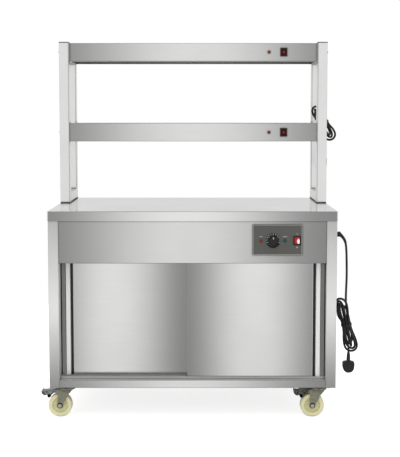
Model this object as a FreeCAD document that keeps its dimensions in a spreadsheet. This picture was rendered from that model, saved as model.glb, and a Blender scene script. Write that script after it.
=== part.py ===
import FreeCAD, Part
import math
import os
import re
import Sketcher

os.makedirs("parts", exist_ok=True)
doc = FreeCAD.newDocument("hot_cupboard")
Vec = FreeCAD.Vector
Turn = FreeCAD.Rotation
Place = FreeCAD.Placement

# Driving sizes in millimetres: X to the right, Y to the back, Z up from the floor
SIZES = {
    "overall_width": 1200,
    "overall_depth": 600,
    "worktop_height": 880,
    "lip_height": 40,
    "steel_sheet": 1.2,
    "bend_radius": 2.4,
    "corner_radius": 4,
    "body_inset": 2,
    "body_bottom": 138,
    "stile_width": 43,
    "stile_return": 12,
    "sill_top": 171,
    "apron_drop": 217,
    "apron_setback": 4,
    "apron_gap": 0.8,
    "door_rise": 27,
    "door_clearance": 5,
    "door_thickness": 20,
    "door_overlap": 48,
    "door_side_gap": 4,
    "door_front": 30,
    "door_spacing": 27,
    "pull_width": 47,
    "pull_slot": 13,
    "pull_lip": 18,
    "pull_depth": 16,
    "roller_radius": 12,
    "roller_width": 6,
    "roller_offset": 200,
    "ceiling_drop": 225,
    "liner_gap": 14,
    "shelf_level": 400,
    "shelf_gap": 13,
    "heat_slot_pitch": 110,
    "heat_slot_rows": 80,
    "element_margin": 150,
    "element_pitch": 100,
    "element_radius": 4,
    "plate_width": 207,
    "plate_height": 128,
    "plate_inset": 249,
    "plate_drop": 118,
    "control_drop": 121,
    "knob_offset": 18,
    "knob_skirt_radius": 30,
    "knob_grip_radius": 18.5,
    "amber_offset": 69,
    "green_offset": 31,
    "lamp_radius": 7.5,
    "switch_offset": 81,
    "bezel_width": 31,
    "bezel_height": 38,
    "rocker_width": 20.4,
    "rocker_half": 13.2,
    "tube_size": 43,
    "tube_wall": 1.5,
    "gantry_inset": 4,
    "gantry_depth": 252,
    "gasket_height": 4,
    "cap_height": 4,
    "gantry_height": 722,
    "gantry_shelf_height": 82,
    "lower_shelf_rise": 278,
    "guard_wire_pitch": 40,
    "upper_shelf_setback": 18,
    "lower_shelf_setback": 4,
    "shelf_lamp_inset": 260,
    "shelf_switch_inset": 194,
    "shelf_bolt_line": 31.5,
    "caster_inset_x": 66,
    "caster_inset_y": 60,
    "wheel_radius": 50,
    "wheel_width": 32,
    "caster_trail": 28,
    "axle_radius": 5,
    "plate_length": 100,
    "plate_depth": 84,
    "bolt_span_x": 38,
    "bolt_span_y": 30,
    "kingpin_radius": 6,
    "crown_radius": 36,
    "fork_thickness": 3,
    "run_clearance": 0.05,
    "gland_y": 200,
    "gland_drop": 108,
    "spout_length": 22,
    "lead_exit": 34,
    "gantry_lead_inset": 18,
    "gantry_lead_offset": 27,
    "gantry_gland_length": 22,
    "cord_diameter": 9.5,
    "main_hank_loops": 4,
    "main_hank_half": 90,
    "main_hank_tilt": 12.5,
    "gantry_hank_loops": 3,
    "gantry_hank_half": 58,
    "gantry_hank_tilt": 26,
    "hank_fold": 27,
    "hank_waist": 16.5,
    "hank_nest": 11.8,
    "plug_width": 51,
    "plug_height": 51,
    "plug_thickness": 26,
    "plug_sleeve": 35,
}

# Levels and lines that follow from the driving sizes
DERIVED = {
    "apron_bottom": "worktop_height-apron_drop",
    "door_height": "apron_bottom+door_rise-sill_top-door_clearance",
    "ceiling_height": "worktop_height-ceiling_drop",
    "liner_back": "overall_depth/2-liner_gap",
    "plate_level": "worktop_height-plate_drop",
    "control_level": "worktop_height-control_drop",
    "plate_center": "overall_width/2-plate_inset",
    "knob_center": "plate_center-knob_offset",
    "amber_center": "plate_center-amber_offset",
    "green_center": "plate_center+green_offset",
    "switch_center": "plate_center+switch_offset",
    "shelf_lamp_center": "overall_width/2-shelf_lamp_inset",
    "shelf_switch_center": "overall_width/2-shelf_switch_inset",
    "gantry_front": "overall_depth/2-gantry_inset-gantry_depth",
    "gantry_top": "worktop_height+gantry_height",
    "lower_shelf_bottom": "worktop_height+lower_shelf_rise",
    "guard_stay_pitch": "overall_width/6",
    "element_half": "overall_width/2-element_margin",
    "caster_x": "overall_width/2-caster_inset_x",
    "caster_y": "overall_depth/2-caster_inset_y",
    "gland_level": "worktop_height-gland_drop",
}

sheet = doc.addObject("Spreadsheet::Sheet", "dims")
entries = list(SIZES.items()) + [(alias, f"={text}") for alias, text in DERIVED.items()]
for row, (alias, amount) in enumerate(entries, 1):
    sheet.set(f"A{row}", alias.replace("_", " "))
    sheet.setAlias(f"B{row}", alias)
    sheet.set(f"B{row}", str(amount))
doc.recompute()
names = {alias for alias, amount in entries}


def cells(text):
    """An expression with every size name pointed at its cell."""
    return re.sub(
        r"[a-z][a-z_]+",
        lambda m: f"dims.{m.group(0)}" if m.group(0) in names else m.group(0),
        str(text),
    )


def number(text):
    """The present value of an expression, in millimetres."""
    return float(sheet.evalExpression(cells(text)))


def bind(item, **properties):
    for name, text in properties.items():
        item.setExpression(name.replace("__", "."), cells(text))


def place(item, x, y, z):
    bind(item, Placement__Base__x=x, Placement__Base__y=y, Placement__Base__z=z)


def box(label, x, y, z):
    """A block between pairs of limits."""
    item = doc.addObject("Part::Box", label)
    bind(item, Length=f"({x[1]})-({x[0]})", Width=f"({y[1]})-({y[0]})", Height=f"({z[1]})-({z[0]})")
    place(item, x[0], y[0], z[0])
    return item


def rod(label, axis, radius, start, end, first, second):
    """A round bar along an axis, with its two other coordinates in XYZ order."""
    item = doc.addObject("Part::Cylinder", label)
    turns = {"x": Turn(Vec(0, 1, 0), 90), "y": Turn(Vec(1, 0, 0), -90), "z": Turn()}
    item.Placement = Place(Vec(), turns[axis])
    bind(item, Radius=radius, Height=f"({end})-({start})")
    spots = {"x": (start, first, second), "y": (first, start, second), "z": (first, second, start)}
    place(item, *spots[axis])
    return item


def outline(body, plane, loops, level):
    """A sketch whose corners and circles are all pinned from the origin by cell expressions."""
    sketch = body.newObject("Sketcher::SketchObject", f"{body.Label}_sketch")
    support = [f for f in body.Origin.OriginFeatures if f.Role == f"{plane.upper()}_Plane"][0]
    sketch.AttachmentSupport = [(support, "")]
    sketch.MapMode = "FlatFace"
    sketch.setExpression("AttachmentOffset.Base.z", cells(level))
    pins = []

    def pin(kind, geometry, corner, text):
        amount = number(text)
        if kind != "Radius" and abs(amount) < 1e-9:
            axis = -2 if kind == "DistanceX" else -1
            sketch.addConstraint(Sketcher.Constraint("PointOnObject", geometry, corner, axis))
            return
        if kind == "Radius":
            index = sketch.addConstraint(Sketcher.Constraint(kind, geometry, amount))
        else:
            index = sketch.addConstraint(Sketcher.Constraint(kind, -1, 1, geometry, corner, amount))
        sketch.renameConstraint(index, f"pin{len(pins)}")
        pins.append(text)

    for loop in loops:
        if loop[0] == "circle":
            _, u, v, radius = loop
            circle = Part.Circle(Vec(number(u), number(v), 0), Vec(0, 0, 1), number(radius))
            index = sketch.addGeometry(circle, False)
            pin("DistanceX", index, 3, u)
            pin("DistanceY", index, 3, v)
            pin("Radius", index, 0, radius)
            continue
        spots = [Vec(number(u), number(v), 0) for u, v in loop]
        first = sketch.GeometryCount
        count = len(loop)
        for i in range(count):
            sketch.addGeometry(Part.LineSegment(spots[i], spots[(i + 1) % count]), False)
        for i in range(count):
            after = first + (i + 1) % count
            sketch.addConstraint(Sketcher.Constraint("Coincident", first + i, 2, after, 1))
        for i, (u, v) in enumerate(loop):
            pin("DistanceX", first + i, 1, u)
            pin("DistanceY", first + i, 1, v)
    for i, text in enumerate(pins):
        sketch.setExpression(f".Constraints.pin{i}", cells(text))
    return sketch


def prism(label, plane, loops, low, high, body=None):
    """Sketched loops padded between two levels, in a new body or added to one."""
    body = body or doc.addObject("PartDesign::Body", label)
    sketch = outline(body, plane, loops, f"-({high})" if plane == "xz" else low)
    pad = body.newObject("PartDesign::Pad", f"{label}_pad")
    pad.Profile = sketch
    bind(pad, Length=f"({high})-({low})")
    body.Tip = pad
    sketch.Visibility = False
    return body


def turned(label, loop, axis="z", spot=("0", "0", "0"), flip=False):
    """A radius and height outline revolved about its own axis, then laid along X, Y or Z."""
    body = doc.addObject("PartDesign::Body", label)
    sketch = outline(body, "xz", [loop], "0")
    item = body.newObject("PartDesign::Revolution", f"{label}_turn")
    item.Profile = sketch
    item.ReferenceAxis = (sketch, ["V_Axis"])
    item.Angle = 360
    body.Tip = item
    tilt = {"x": Turn(Vec(0, 1, 0), 90), "y": Turn(Vec(1, 0, 0), -90), "z": Turn()}[axis]
    if flip:
        tilt = tilt.multiply(Turn(Vec(1, 0, 0), 180))
    body.Placement = Place(Vec(), tilt)
    place(body, *spot)
    return body


def round_edges(body, radius, keep):
    """Fillet the edges of the last feature that the test keeps."""
    doc.recompute()
    tip = body.Tip
    names = [f"Edge{i}" for i, edge in enumerate(tip.Shape.Edges, 1) if keep(edge)]
    item = body.newObject("PartDesign::Fillet", f"{body.Label}_round")
    item.Base = (tip, names)
    bind(item, Radius=radius)
    body.Tip = item
    return body


def along(edge, axis):
    """True where a straight edge runs along one axis."""
    if edge.Curve.TypeId != "Part::GeomLine":
        return False
    a, b = edge.Vertexes[0].Point, edge.Vertexes[-1].Point
    return abs(abs(getattr(b - a, axis)) - (b - a).Length) < 1e-6


def sheet_loop(path, thickness, side):
    """The outline of a sheet folded along a path of square bends, and its two rows of bend corners."""
    spots = [(number(u), number(v)) for u, v in path]
    normals = []
    for (u0, v0), (u1, v1) in zip(spots, spots[1:]):
        run = math.hypot(u1 - u0, v1 - v0)
        normals.append((-side * (v1 - v0) / run, side * (u1 - u0) / run))
    inner = []
    for i, (u, v) in enumerate(path):
        near = normals[max(i - 1, 0) : i + 1]
        shift = [round(sum(n[k] for n in near)) for k in (0, 1)]
        inner.append((f"{u}+({shift[0]})*{thickness}", f"{v}+({shift[1]})*{thickness}"))
    return path + inner[::-1], path[1:-1], inner[1:-1]


def folded(label, plane, path, side, low, high, bend="bend_radius"):
    """A folded sheet panel with rounded bends."""
    loop, outside, inside = sheet_loop(path, "steel_sheet", side)
    body = prism(label, plane, [loop], low, high)
    letters = {"xy": "xyz", "xz": "xzy", "yz": "yzx"}[plane]

    def at(corners):
        wanted = [(number(u), number(v)) for u, v in corners]

        def keep(edge):
            if not along(edge, letters[2]):
                return False
            p = edge.Vertexes[0].Point
            return any(
                math.hypot(getattr(p, letters[0]) - u, getattr(p, letters[1]) - v) < 0.01
                for u, v in wanted
            )

        return keep

    # a bend to the other side has its small radius on the path itself
    spots = [(number(u), number(v)) for u, v in path]
    tight, wide = [], []
    for i in range(1, len(path) - 1):
        ax, ay = spots[i][0] - spots[i - 1][0], spots[i][1] - spots[i - 1][1]
        bx, by = spots[i + 1][0] - spots[i][0], spots[i + 1][1] - spots[i][1]
        inward = (ax * by - ay * bx) * side > 0
        tight.append(inside[i - 1] if inward else outside[i - 1])
        wide.append(outside[i - 1] if inward else inside[i - 1])
    round_edges(body, f"{bend}-steel_sheet", at(tight))
    round_edges(body, bend, at(wide))
    return body


def joined(label, items):
    item = doc.addObject("Part::MultiFuse", label)
    item.Shapes = items
    return item


def cut(label, base, tools):
    item = doc.addObject("Part::Cut", label)
    item.Base = base
    item.Tool = tools[0] if len(tools) == 1 else joined(f"{label}_tools", tools)
    return item


def together(label, items):
    """Separate solids that share one name."""
    item = doc.addObject("Part::Compound", label)
    item.Links = items
    return item


def mirrored(x):
    """A pair of X limits on the other side of the centre."""
    return (f"-({x[1]})", f"-({x[0]})")


nodes = []


def keep(item):
    nodes.append(item)
    return item


# Worktop: one tray of polished sheet, its edge folded down all round
half_width = "overall_width/2"
half_depth = "overall_depth/2"
top_corners = [
    (f"-{half_width}", f"-{half_depth}"),
    (half_width, f"-{half_depth}"),
    (half_width, half_depth),
    (f"-{half_width}", half_depth),
]
worktop = prism("worktop", "xy", [top_corners], "worktop_height-lip_height", "worktop_height")
round_edges(worktop, "corner_radius", lambda edge: along(edge, "z"))
top_level = number("worktop_height")
round_edges(
    worktop,
    "bend_radius",
    lambda edge: all(abs(v.Point.z - top_level) < 0.01 for v in edge.Vertexes),
)
doc.recompute()
blank = worktop.Tip
lowest = min(range(len(blank.Shape.Faces)), key=lambda i: blank.Shape.Faces[i].CenterOfMass.z)
tray = worktop.newObject("PartDesign::Thickness", "worktop_tray")
tray.Base = (blank, [f"Face{lowest + 1}"])
tray.Reversed = True
bind(tray, Value="steel_sheet")
worktop.Tip = tray
keep(worktop)

# Side panels: outer skin, front stile with its return, and a rear return
skin = "(overall_width/2-body_inset)"
front = "-(overall_depth/2-body_inset)"
back = "(overall_depth/2-body_inset)"
under_top = "worktop_height-steel_sheet"
right_path = [
    (f"{skin}-stile_width", f"{front}+stile_return"),
    (f"{skin}-stile_width", front),
    (skin, front),
    (skin, back),
    (f"{skin}-stile_width", back),
]
left_path = [(f"-({x})", y) for x, y in right_path]
keep(folded("left_side_panel", "xy", left_path, -1, "body_bottom", under_top))
right_panel = folded("right_panel_sheet", "xy", right_path, 1, "body_bottom", under_top)
gland_hole = rod("gland_hole", "x", "8", f"{skin}-10", f"{skin}+10", "-gland_y", "gland_level")
keep(cut("right_side_panel", right_panel, [gland_hole]))

# Back panel: a flat sheet lapped inside the rear returns
inside = f"({skin}-steel_sheet)"
keep(
    box(
        "back_panel",
        (f"-({inside}-3)", f"{inside}-3"),
        (f"{back}-2*steel_sheet", f"{back}-steel_sheet"),
        ("body_bottom+2", under_top),
    )
)

# Base pan: a floor tray with turned-up sides, bars that carry the heater, and caster bolt holes
pan_front = f"{front}+stile_return+0.2"
pan_back = f"{back}-2*steel_sheet"
pan_path = [
    (f"-{inside}", "body_bottom+30"),
    (f"-{inside}", "body_bottom"),
    (inside, "body_bottom"),
    (inside, "body_bottom+30"),
]
pan_sheet = folded("pan_sheet", "xz", pan_path, 1, pan_front, pan_back)
pan_floor = "body_bottom+steel_sheet"
bars = [
    box(
        f"heater_bar_{i}",
        (f"{x}-8", f"{x}+8"),
        ("-1.6*element_pitch", "2*element_pitch"),
        (f"{pan_floor}-0.6", f"{pan_floor}+9"),
    )
    for i, x in enumerate(("-(element_half-120)", "0", "(element_half-120)"))
]
corners = [
    (f"{sx}caster_x", f"{sy}caster_y", name)
    for sx, sy, name in (
        ("-", "-", "front_left"),
        ("", "-", "front_right"),
        ("-", "", "rear_left"),
        ("", "", "rear_right"),
    )
]
bolt_spots = [
    (f"{x}{a}bolt_span_x", f"{y}{b}bolt_span_y") for x, y, _ in corners for a in "+-" for b in "+-"
]
pan_holes = [
    rod(f"pan_hole_{i}", "z", "4.25", "body_bottom-5", "body_bottom+8", x, y)
    for i, (x, y) in enumerate(bolt_spots)
]
keep(cut("base_pan", joined("pan_with_bars", [pan_sheet] + bars), pan_holes))

# Front sill: the rail below the doors, folded into a hat that stands on the pan
clear = f"({skin}-stile_width)"
sill_rear = "(door_front-overall_depth/2+door_spacing+door_thickness+2+2)"
sill_path = [
    (f"{front}+stile_return-0.4", "body_bottom"),
    (front, "body_bottom"),
    (front, "sill_top"),
    (sill_rear, "sill_top"),
    (sill_rear, pan_floor),
]
keep(folded("front_sill", "yz", sill_path, -1, f"-{clear}", clear))

# Bottom track: a floor strip and three rib strips, one groove for each door
groove_front = "(door_front-overall_depth/2)"
groove_middle = f"({groove_front}+door_thickness)"
groove_second = f"({groove_front}+door_spacing)"
groove_rear = f"({groove_second}+door_thickness)"
track_floor = "sill_top+1.5"
track_rows = [
    ("floor", f"{groove_front}-4", f"{groove_rear}+4", "sill_top", track_floor),
    ("front_rib", f"{groove_front}-4", f"{groove_front}-2", track_floor, "sill_top+9"),
    ("middle_rib", f"{groove_middle}+2", f"{groove_second}-2", track_floor, "sill_top+9"),
    ("rear_rib", f"{groove_rear}+2", f"{groove_rear}+4", track_floor, "sill_top+9"),
]
strips = [box(f"track_{part}", (f"-{clear}", clear), (a, b), (c, d)) for part, a, b, c, d in track_rows]
keep(together("bottom_track", strips))

# Cavity liner: inner walls and ceiling in one sheet, with a separate back sheet
liner_front = f"({sill_rear}+2)"
wall = f"({clear}-steel_sheet)"
liner_path = [
    (f"-{clear}", pan_floor),
    (f"-{clear}", "ceiling_height+steel_sheet"),
    (clear, "ceiling_height+steel_sheet"),
    (clear, pan_floor),
]
liner = folded("liner_hood", "xz", liner_path, -1, liner_front, "liner_back")
liner_rear = box(
    "liner_rear",
    (f"-{wall}", wall),
    ("liner_back-steel_sheet", "liner_back"),
    (pan_floor, "ceiling_height"),
)
keep(together("cavity_liner", [liner, liner_rear]))

# Element guard: the cupboard floor, a tray turned down at the sides with rows of heat slots
guard_path = [
    (f"-{wall}", pan_floor),
    (f"-{wall}", "sill_top"),
    (wall, "sill_top"),
    (wall, pan_floor),
]
guard = folded("guard_sheet", "xz", guard_path, -1, liner_front, "liner_back-steel_sheet")
slots = [
    box(
        f"heat_slot_{i}_{j}",
        (f"({i}-4)*heat_slot_pitch-35", f"({i}-4)*heat_slot_pitch+35"),
        (f"({j}-1.5)*heat_slot_rows-4", f"({j}-1.5)*heat_slot_rows+4"),
        ("sill_top-5", "sill_top+5"),
    )
    for i in range(9)
    for j in range(4)
]
keep(cut("element_guard", guard, slots))

# Heating element: a rod bent into four runs, lying on the bars of the pan
element_level = f"({pan_floor}+9+element_radius)"
runs = [
    rod(
        f"element_run_{i}",
        "x",
        "element_radius",
        "-element_half",
        "element_half",
        f"({i}-1.3)*element_pitch",
        element_level,
    )
    for i in range(4)
]
bends = []
for i, side in enumerate((1, -1, 1)):
    bend = doc.addObject("Part::Torus", f"element_bend_{i}")
    bend.Angle3 = 180
    bend.Placement = Place(Vec(), Turn(Vec(0, 0, 1), -90 * side))
    bind(bend, Radius1="element_pitch/2", Radius2="element_radius")
    place(bend, f"{side}*element_half", f"({i}-0.8)*element_pitch", element_level)
    bends.append(bend)
keep(joined("heating_element", runs + bends))

# Inner shelf on two angle runners
shelf_front = f"({liner_front}+20)"
shelf_back = "(liner_back-shelf_gap)"
keep(
    folded(
        "inner_shelf",
        "yz",
        [
            (shelf_front, "shelf_level"),
            (shelf_front, "shelf_level+25"),
            (shelf_back, "shelf_level+25"),
            (shelf_back, "shelf_level"),
        ],
        -1,
        f"-{wall}+2",
        f"{wall}-2",
    )
)
runner_path = [
    (wall, "shelf_level-30"),
    (wall, "shelf_level"),
    (f"{wall}-22", "shelf_level"),
]
other_path = [(f"-({x})", z) for x, z in runner_path]
runner = folded("right_runner", "xz", runner_path, 1, shelf_front, shelf_back)
other = folded("left_runner", "xz", other_path, -1, shelf_front, shelf_back)
keep(together("shelf_runners", [other, runner]))

# Front apron: the panel under the lip that carries the controls
apron_face = "(apron_setback-overall_depth/2)"
apron_path = [
    (f"{apron_face}+20", "apron_bottom"),
    (apron_face, "apron_bottom"),
    (apron_face, "worktop_height-lip_height+34"),
    (f"{apron_face}+20", "worktop_height-lip_height+34"),
]
apron = folded("apron_sheet", "yz", apron_path, -1, f"-({clear}-apron_gap)", f"{clear}-apron_gap")
lamp_centers = ("amber_center", "green_center")


def control_holes(name, extra):
    """Openings for the dial bush, the two lamps and the main switch."""
    y = (f"{apron_face}-20", f"{apron_face}+10")
    holes = [rod(f"{name}_dial", "y", f"7+{extra}", *y, "knob_center", "control_level")]
    for i, x in enumerate(lamp_centers):
        holes.append(rod(f"{name}_lamp_{i}", "y", f"5+{extra}", *y, x, "control_level"))
    holes.append(
        box(
            f"{name}_switch",
            (f"switch_center-bezel_width/2+2.3-{extra}", f"switch_center+bezel_width/2-2.3+{extra}"),
            y,
            (f"control_level-bezel_height/2+2.8-{extra}", f"control_level+bezel_height/2-2.8+{extra}"),
        )
    )
    return holes


keep(cut("front_apron", apron, control_holes("apron_hole", "0")))

# Control plate: a dark panel with a slim raised rim
plate_back = apron_face
plate_face = f"({apron_face}-2)"


def plate_loop(inset):
    w, h = f"(plate_width/2-{inset})", f"(plate_height/2-{inset})"
    cx, cz = "plate_center", "plate_level"
    return [(f"{cx}{a}{w}", f"{cz}{b}{h}") for a, b in ("--", "+-", "++", "-+")]


plate = prism("plate_blank", "xz", [plate_loop("0")], plate_face, plate_back)
prism("plate_rim", "xz", [plate_loop("0"), plate_loop("4")], f"{plate_face}-0.8", plate_face, plate)
round_edges(
    plate,
    "corner_radius",
    lambda edge: along(edge, "y") and abs(edge.CenterOfMass.x - number("plate_center")) > number("plate_width/2") - 0.01,
)
keep(cut("control_plate", plate, control_holes("plate_hole", "0")))

# Thermostat: a boxed regulator behind the apron with a bush for its spindle
apron_back = f"({apron_face}+steel_sheet)"
spindle_radius = "3"
regulator = joined(
    "regulator_blank",
    [
        box(
            "regulator_case",
            ("knob_center-22", "knob_center+22"),
            (apron_back, f"{apron_back}+34"),
            ("control_level-20", "control_level+20"),
        ),
        rod("regulator_bush", "y", "6", f"{plate_face}+0.4", f"{apron_back}+5", "knob_center", "control_level"),
    ],
)
bush_bore = rod(
    "bush_bore",
    "y",
    f"{spindle_radius}+run_clearance",
    f"{plate_face}-5",
    f"{apron_back}+15",
    "knob_center",
    "control_level",
)
keep(cut("thermostat_body", regulator, [bush_bore]))

# Dial knob: a flat skirt, a fluted grip with a pointer bar, and its spindle
knob_back = f"({plate_face}-1.2)"
knob_loop = [
    ("0", "0"),
    ("knob_skirt_radius", "0"),
    ("knob_skirt_radius", "1.6"),
    ("knob_skirt_radius-5", "3.6"),
    ("knob_grip_radius+1.5", "4"),
    ("knob_grip_radius", "14.5"),
    ("knob_grip_radius-1.5", "16"),
    ("0", "16"),
]
knob_spot = ("knob_center", knob_back, "control_level")
knob_blank = turned("knob_blank", knob_loop, "y", knob_spot, flip=True)
pointer = box(
    "knob_pointer",
    ("knob_center-2.5", "knob_center+2.5"),
    (f"{knob_back}-17.2", f"{knob_back}-15"),
    ("control_level-knob_grip_radius+4", "control_level+knob_grip_radius-3"),
)
flutes = []
for i in range(12):
    turn = f"{30 * i + 15}"
    flutes.append(
        rod(
            f"knob_flute_{i}",
            "y",
            "2.6",
            f"{knob_back}-20",
            f"{knob_back}-4.2",
            f"knob_center+(knob_grip_radius+1.5)*cos({turn} deg)",
            f"control_level+(knob_grip_radius+1.5)*sin({turn} deg)",
        )
    )
knob_bore = rod("knob_bore", "y", spindle_radius, f"{knob_back}-10", f"{knob_back}+1", "knob_center", "control_level")
knob = cut("dial_knob", joined("knob_with_pointer", [knob_blank, pointer]), flutes + [knob_bore])
spindle = rod(
    "dial_spindle",
    "y",
    spindle_radius,
    f"{knob_back}-10",
    f"{apron_back}+12",
    "knob_center",
    "control_level",
)
keep(together("thermostat_knob", [knob, spindle]))

# Indicator lamps: a domed lens on a collar, with the holder behind
lamp_loop = [
    ("0", "-20"),
    ("4.8", "-20"),
    ("4.8", "0"),
    ("lamp_radius", "0"),
    ("lamp_radius", "1.5"),
    ("lamp_radius-1", "3"),
    ("lamp_radius-3", "4.6"),
    ("0", "5.4"),
]
tube_inner = "(overall_width/2-tube_size)"
upper_face = "(gantry_front+upper_shelf_setback)"
lower_face = "(gantry_front+lower_shelf_setback)"
upper_bottom = "(gantry_top-cap_height-gantry_shelf_height+1)"
upper_middle = f"({upper_bottom}+gantry_shelf_height/2)"
lower_middle = "(lower_shelf_bottom+gantry_shelf_height/2)"
lamp_spots = [
    ("amber_center", plate_face, "control_level"),
    ("shelf_lamp_center", upper_face, upper_middle),
    ("shelf_lamp_center", lower_face, lower_middle),
]
ambers = [turned(f"amber_lamp_{i}", lamp_loop, "y", spot, flip=True) for i, spot in enumerate(lamp_spots)]
keep(together("amber_lamps", ambers))
keep(turned("green_lamp", lamp_loop, "y", ("green_center", plate_face, "control_level"), flip=True))

# Rocker switches: a bezel and case with a pocket, and a rocker on a cross pin
switch_spots = [
    ("main", "switch_center", plate_face, "control_level"),
    ("upper", "shelf_switch_center", upper_face, upper_middle),
    ("lower", "shelf_switch_center", lower_face, lower_middle),
]
housings = []
rockers = []
for name, x, y, z in switch_spots:
    bezel = box(
        f"{name}_bezel",
        (f"{x}-bezel_width/2", f"{x}+bezel_width/2"),
        (f"{y}-2.5", y),
        (f"{z}-bezel_height/2", f"{z}+bezel_height/2"),
    )
    case = box(
        f"{name}_case",
        (f"{x}-bezel_width/2+2.5", f"{x}+bezel_width/2-2.5"),
        (f"{y}-1", f"{y}+24"),
        (f"{z}-bezel_height/2+3", f"{z}+bezel_height/2-3"),
    )
    pocket = box(
        f"{name}_pocket",
        (f"{x}-rocker_width/2-0.3", f"{x}+rocker_width/2+0.3"),
        (f"{y}-5", f"{y}+12"),
        (f"{z}-rocker_half-0.9", f"{z}+rocker_half+0.9"),
    )
    pivot_y = f"({y}+2.5)"
    socket = rod(
        f"{name}_socket",
        "x",
        "1.5+run_clearance",
        f"{x}-rocker_width/2-1.3",
        f"{x}+rocker_width/2+1.3",
        pivot_y,
        z,
    )
    housings.append(cut(f"{name}_housing", joined(f"{name}_shell", [bezel, case]), [pocket, socket]))
    rocker = prism(
        f"{name}_rocker_paddle",
        "yz",
        [
            [
                ("-6.4", "rocker_half"),
                ("-4.2", "0"),
                ("-6.4", "-rocker_half"),
                ("2", "-rocker_half"),
                ("5", "-rocker_half/2"),
                ("5", "rocker_half/2"),
                ("2", "rocker_half"),
            ]
        ],
        "-rocker_width/2",
        "rocker_width/2",
    )
    pin = prism(f"{name}_pin", "yz", [("circle", "0", "0", "1.5")], "-rocker_width/2-1", "rocker_width/2+1")
    lean = Turn(Vec(1, 0, 0), -6)
    for item in (rocker, pin):
        item.Placement = Place(Vec(), lean)
        place(item, x, pivot_y, z)
    rockers.append(joined(f"{name}_rocker", [rocker, pin]))
keep(together("switch_housings", housings))
for rocker in rockers:
    keep(rocker)

# Door track: a twin channel behind the apron, each side ending in a roller ledge
door_bottom = "(sill_top+door_clearance)"
door_top = f"({door_bottom}+door_height)"
ledge = f"({door_top}+6)"
roller_level = f"({ledge}+roller_radius)"
hanger = "(door_thickness/2+1)"


def rail_y(door_face):
    return f"({door_face}+{hanger}+2)"


first_rail = rail_y(groove_front)
second_rail = rail_y(groove_second)
reach = "(roller_width+1.4)"
track_top = f"({roller_level}+roller_radius+8)"
track_loop = [
    (first_rail, f"{ledge}-1.5"),
    (f"{first_rail}+{reach}+1.5", f"{ledge}-1.5"),
    (f"{first_rail}+{reach}+1.5", f"{track_top}-1.5"),
    (f"{second_rail}+{reach}", f"{track_top}-1.5"),
    (f"{second_rail}+{reach}", ledge),
    (second_rail, ledge),
    (second_rail, f"{ledge}-1.5"),
    (f"{second_rail}+{reach}+1.5", f"{ledge}-1.5"),
    (f"{second_rail}+{reach}+1.5", track_top),
    (f"{first_rail}+{reach}", track_top),
    (f"{first_rail}+{reach}", ledge),
    (first_rail, ledge),
]
keep(prism("door_track", "yz", [track_loop], f"-{inside}", inside))

# Sliding doors: a hollow leaf on two hangers, and a full-height finger pull along its outer edge
door_outer = f"({clear}-door_side_gap)"


def door(label, face, sign):
    """One door; sign is 1 for the door that closes on the right and -1 for the left."""

    def x(text):
        return text if sign > 0 else f"-({text})"

    def flat(points):
        return [(x(u), v) for u, v in points]

    def panel(low, high):
        return (low, high) if sign > 0 else mirrored((low, high))

    rear = f"({face}+door_thickness)"
    pull_start = f"({door_outer}-pull_width)"
    skin_path = [
        ("-door_overlap/2", rear),
        ("-door_overlap/2", face),
        (pull_start, face),
        (pull_start, rear),
    ]
    body = folded(f"{label}_skin", "xy", flat(skin_path), sign, door_bottom, door_top)
    strip_path = [
        (f"{pull_start}+steel_sheet", f"{face}+7"),
        (f"{pull_start}+steel_sheet", f"{face}+pull_depth"),
        (door_outer, f"{face}+pull_depth"),
        (door_outer, f"{face}+1"),
        (f"{door_outer}-13", f"{face}+1"),
        (f"{door_outer}-13", f"{face}+6"),
    ]
    strip = folded(f"{label}_strip", "xy", flat(strip_path), sign, door_bottom, door_top)
    lip_end = f"({pull_start}+pull_slot)"
    lip_wall = f"({lip_end}+pull_lip)"
    lip_path = [
        (lip_end, f"{face}+5"),
        (lip_end, f"{face}+2"),
        (lip_wall, f"{face}+2"),
        (lip_wall, f"{face}+pull_depth"),
    ]
    lip = folded(f"{label}_lip", "xy", flat(lip_path), sign, door_bottom, door_top)
    sheet_back = box(
        f"{label}_back",
        panel("-door_overlap/2+steel_sheet", f"{pull_start}-steel_sheet"),
        (f"{rear}-steel_sheet", rear),
        (door_bottom, door_top),
    )
    cap = box(
        f"{label}_cap",
        panel("-door_overlap/2+0.6", f"{pull_start}-0.6"),
        (f"{face}+0.6", f"{rear}-0.6"),
        (f"{door_top}-1.5", door_top),
    )
    parts = [body, sheet_back, cap]
    center = f"(({pull_start}-door_overlap/2)/2)"
    tab_back = f"({face}+{hanger})"
    for side, shift in (("a", "-roller_offset"), ("b", "+roller_offset")):
        middle = f"({center}{shift})"
        parts.append(
            box(
                f"{label}_tab_{side}",
                panel(f"{middle}-16", f"{middle}+16"),
                (f"{tab_back}-2", tab_back),
                (f"{door_top}-1", f"{roller_level}+9"),
            )
        )
        parts.append(
            rod(
                f"{label}_axle_{side}",
                "y",
                "3",
                f"{tab_back}-1",
                f"{tab_back}+2+roller_width+0.4",
                x(middle),
                roller_level,
            )
        )
        rollers.append(
            turned(
                f"{label}_roller_{side}",
                [
                    ("3+run_clearance", "0"),
                    ("roller_radius-1.5", "0"),
                    ("roller_radius", "1"),
                    ("roller_radius", "roller_width-1"),
                    ("roller_radius-1.5", "roller_width"),
                    ("3+run_clearance", "roller_width"),
                ],
                "y",
                (x(middle), f"{tab_back}+2.4", roller_level),
            )
        )
    return together(label, [joined(f"{label}_leaf", parts), joined(f"{label}_pull", [strip, lip])])


rollers = []
keep(door("left_door", groove_second, -1))
keep(door("right_door", groove_front, 1))
for roller in rollers:
    keep(roller)

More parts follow.
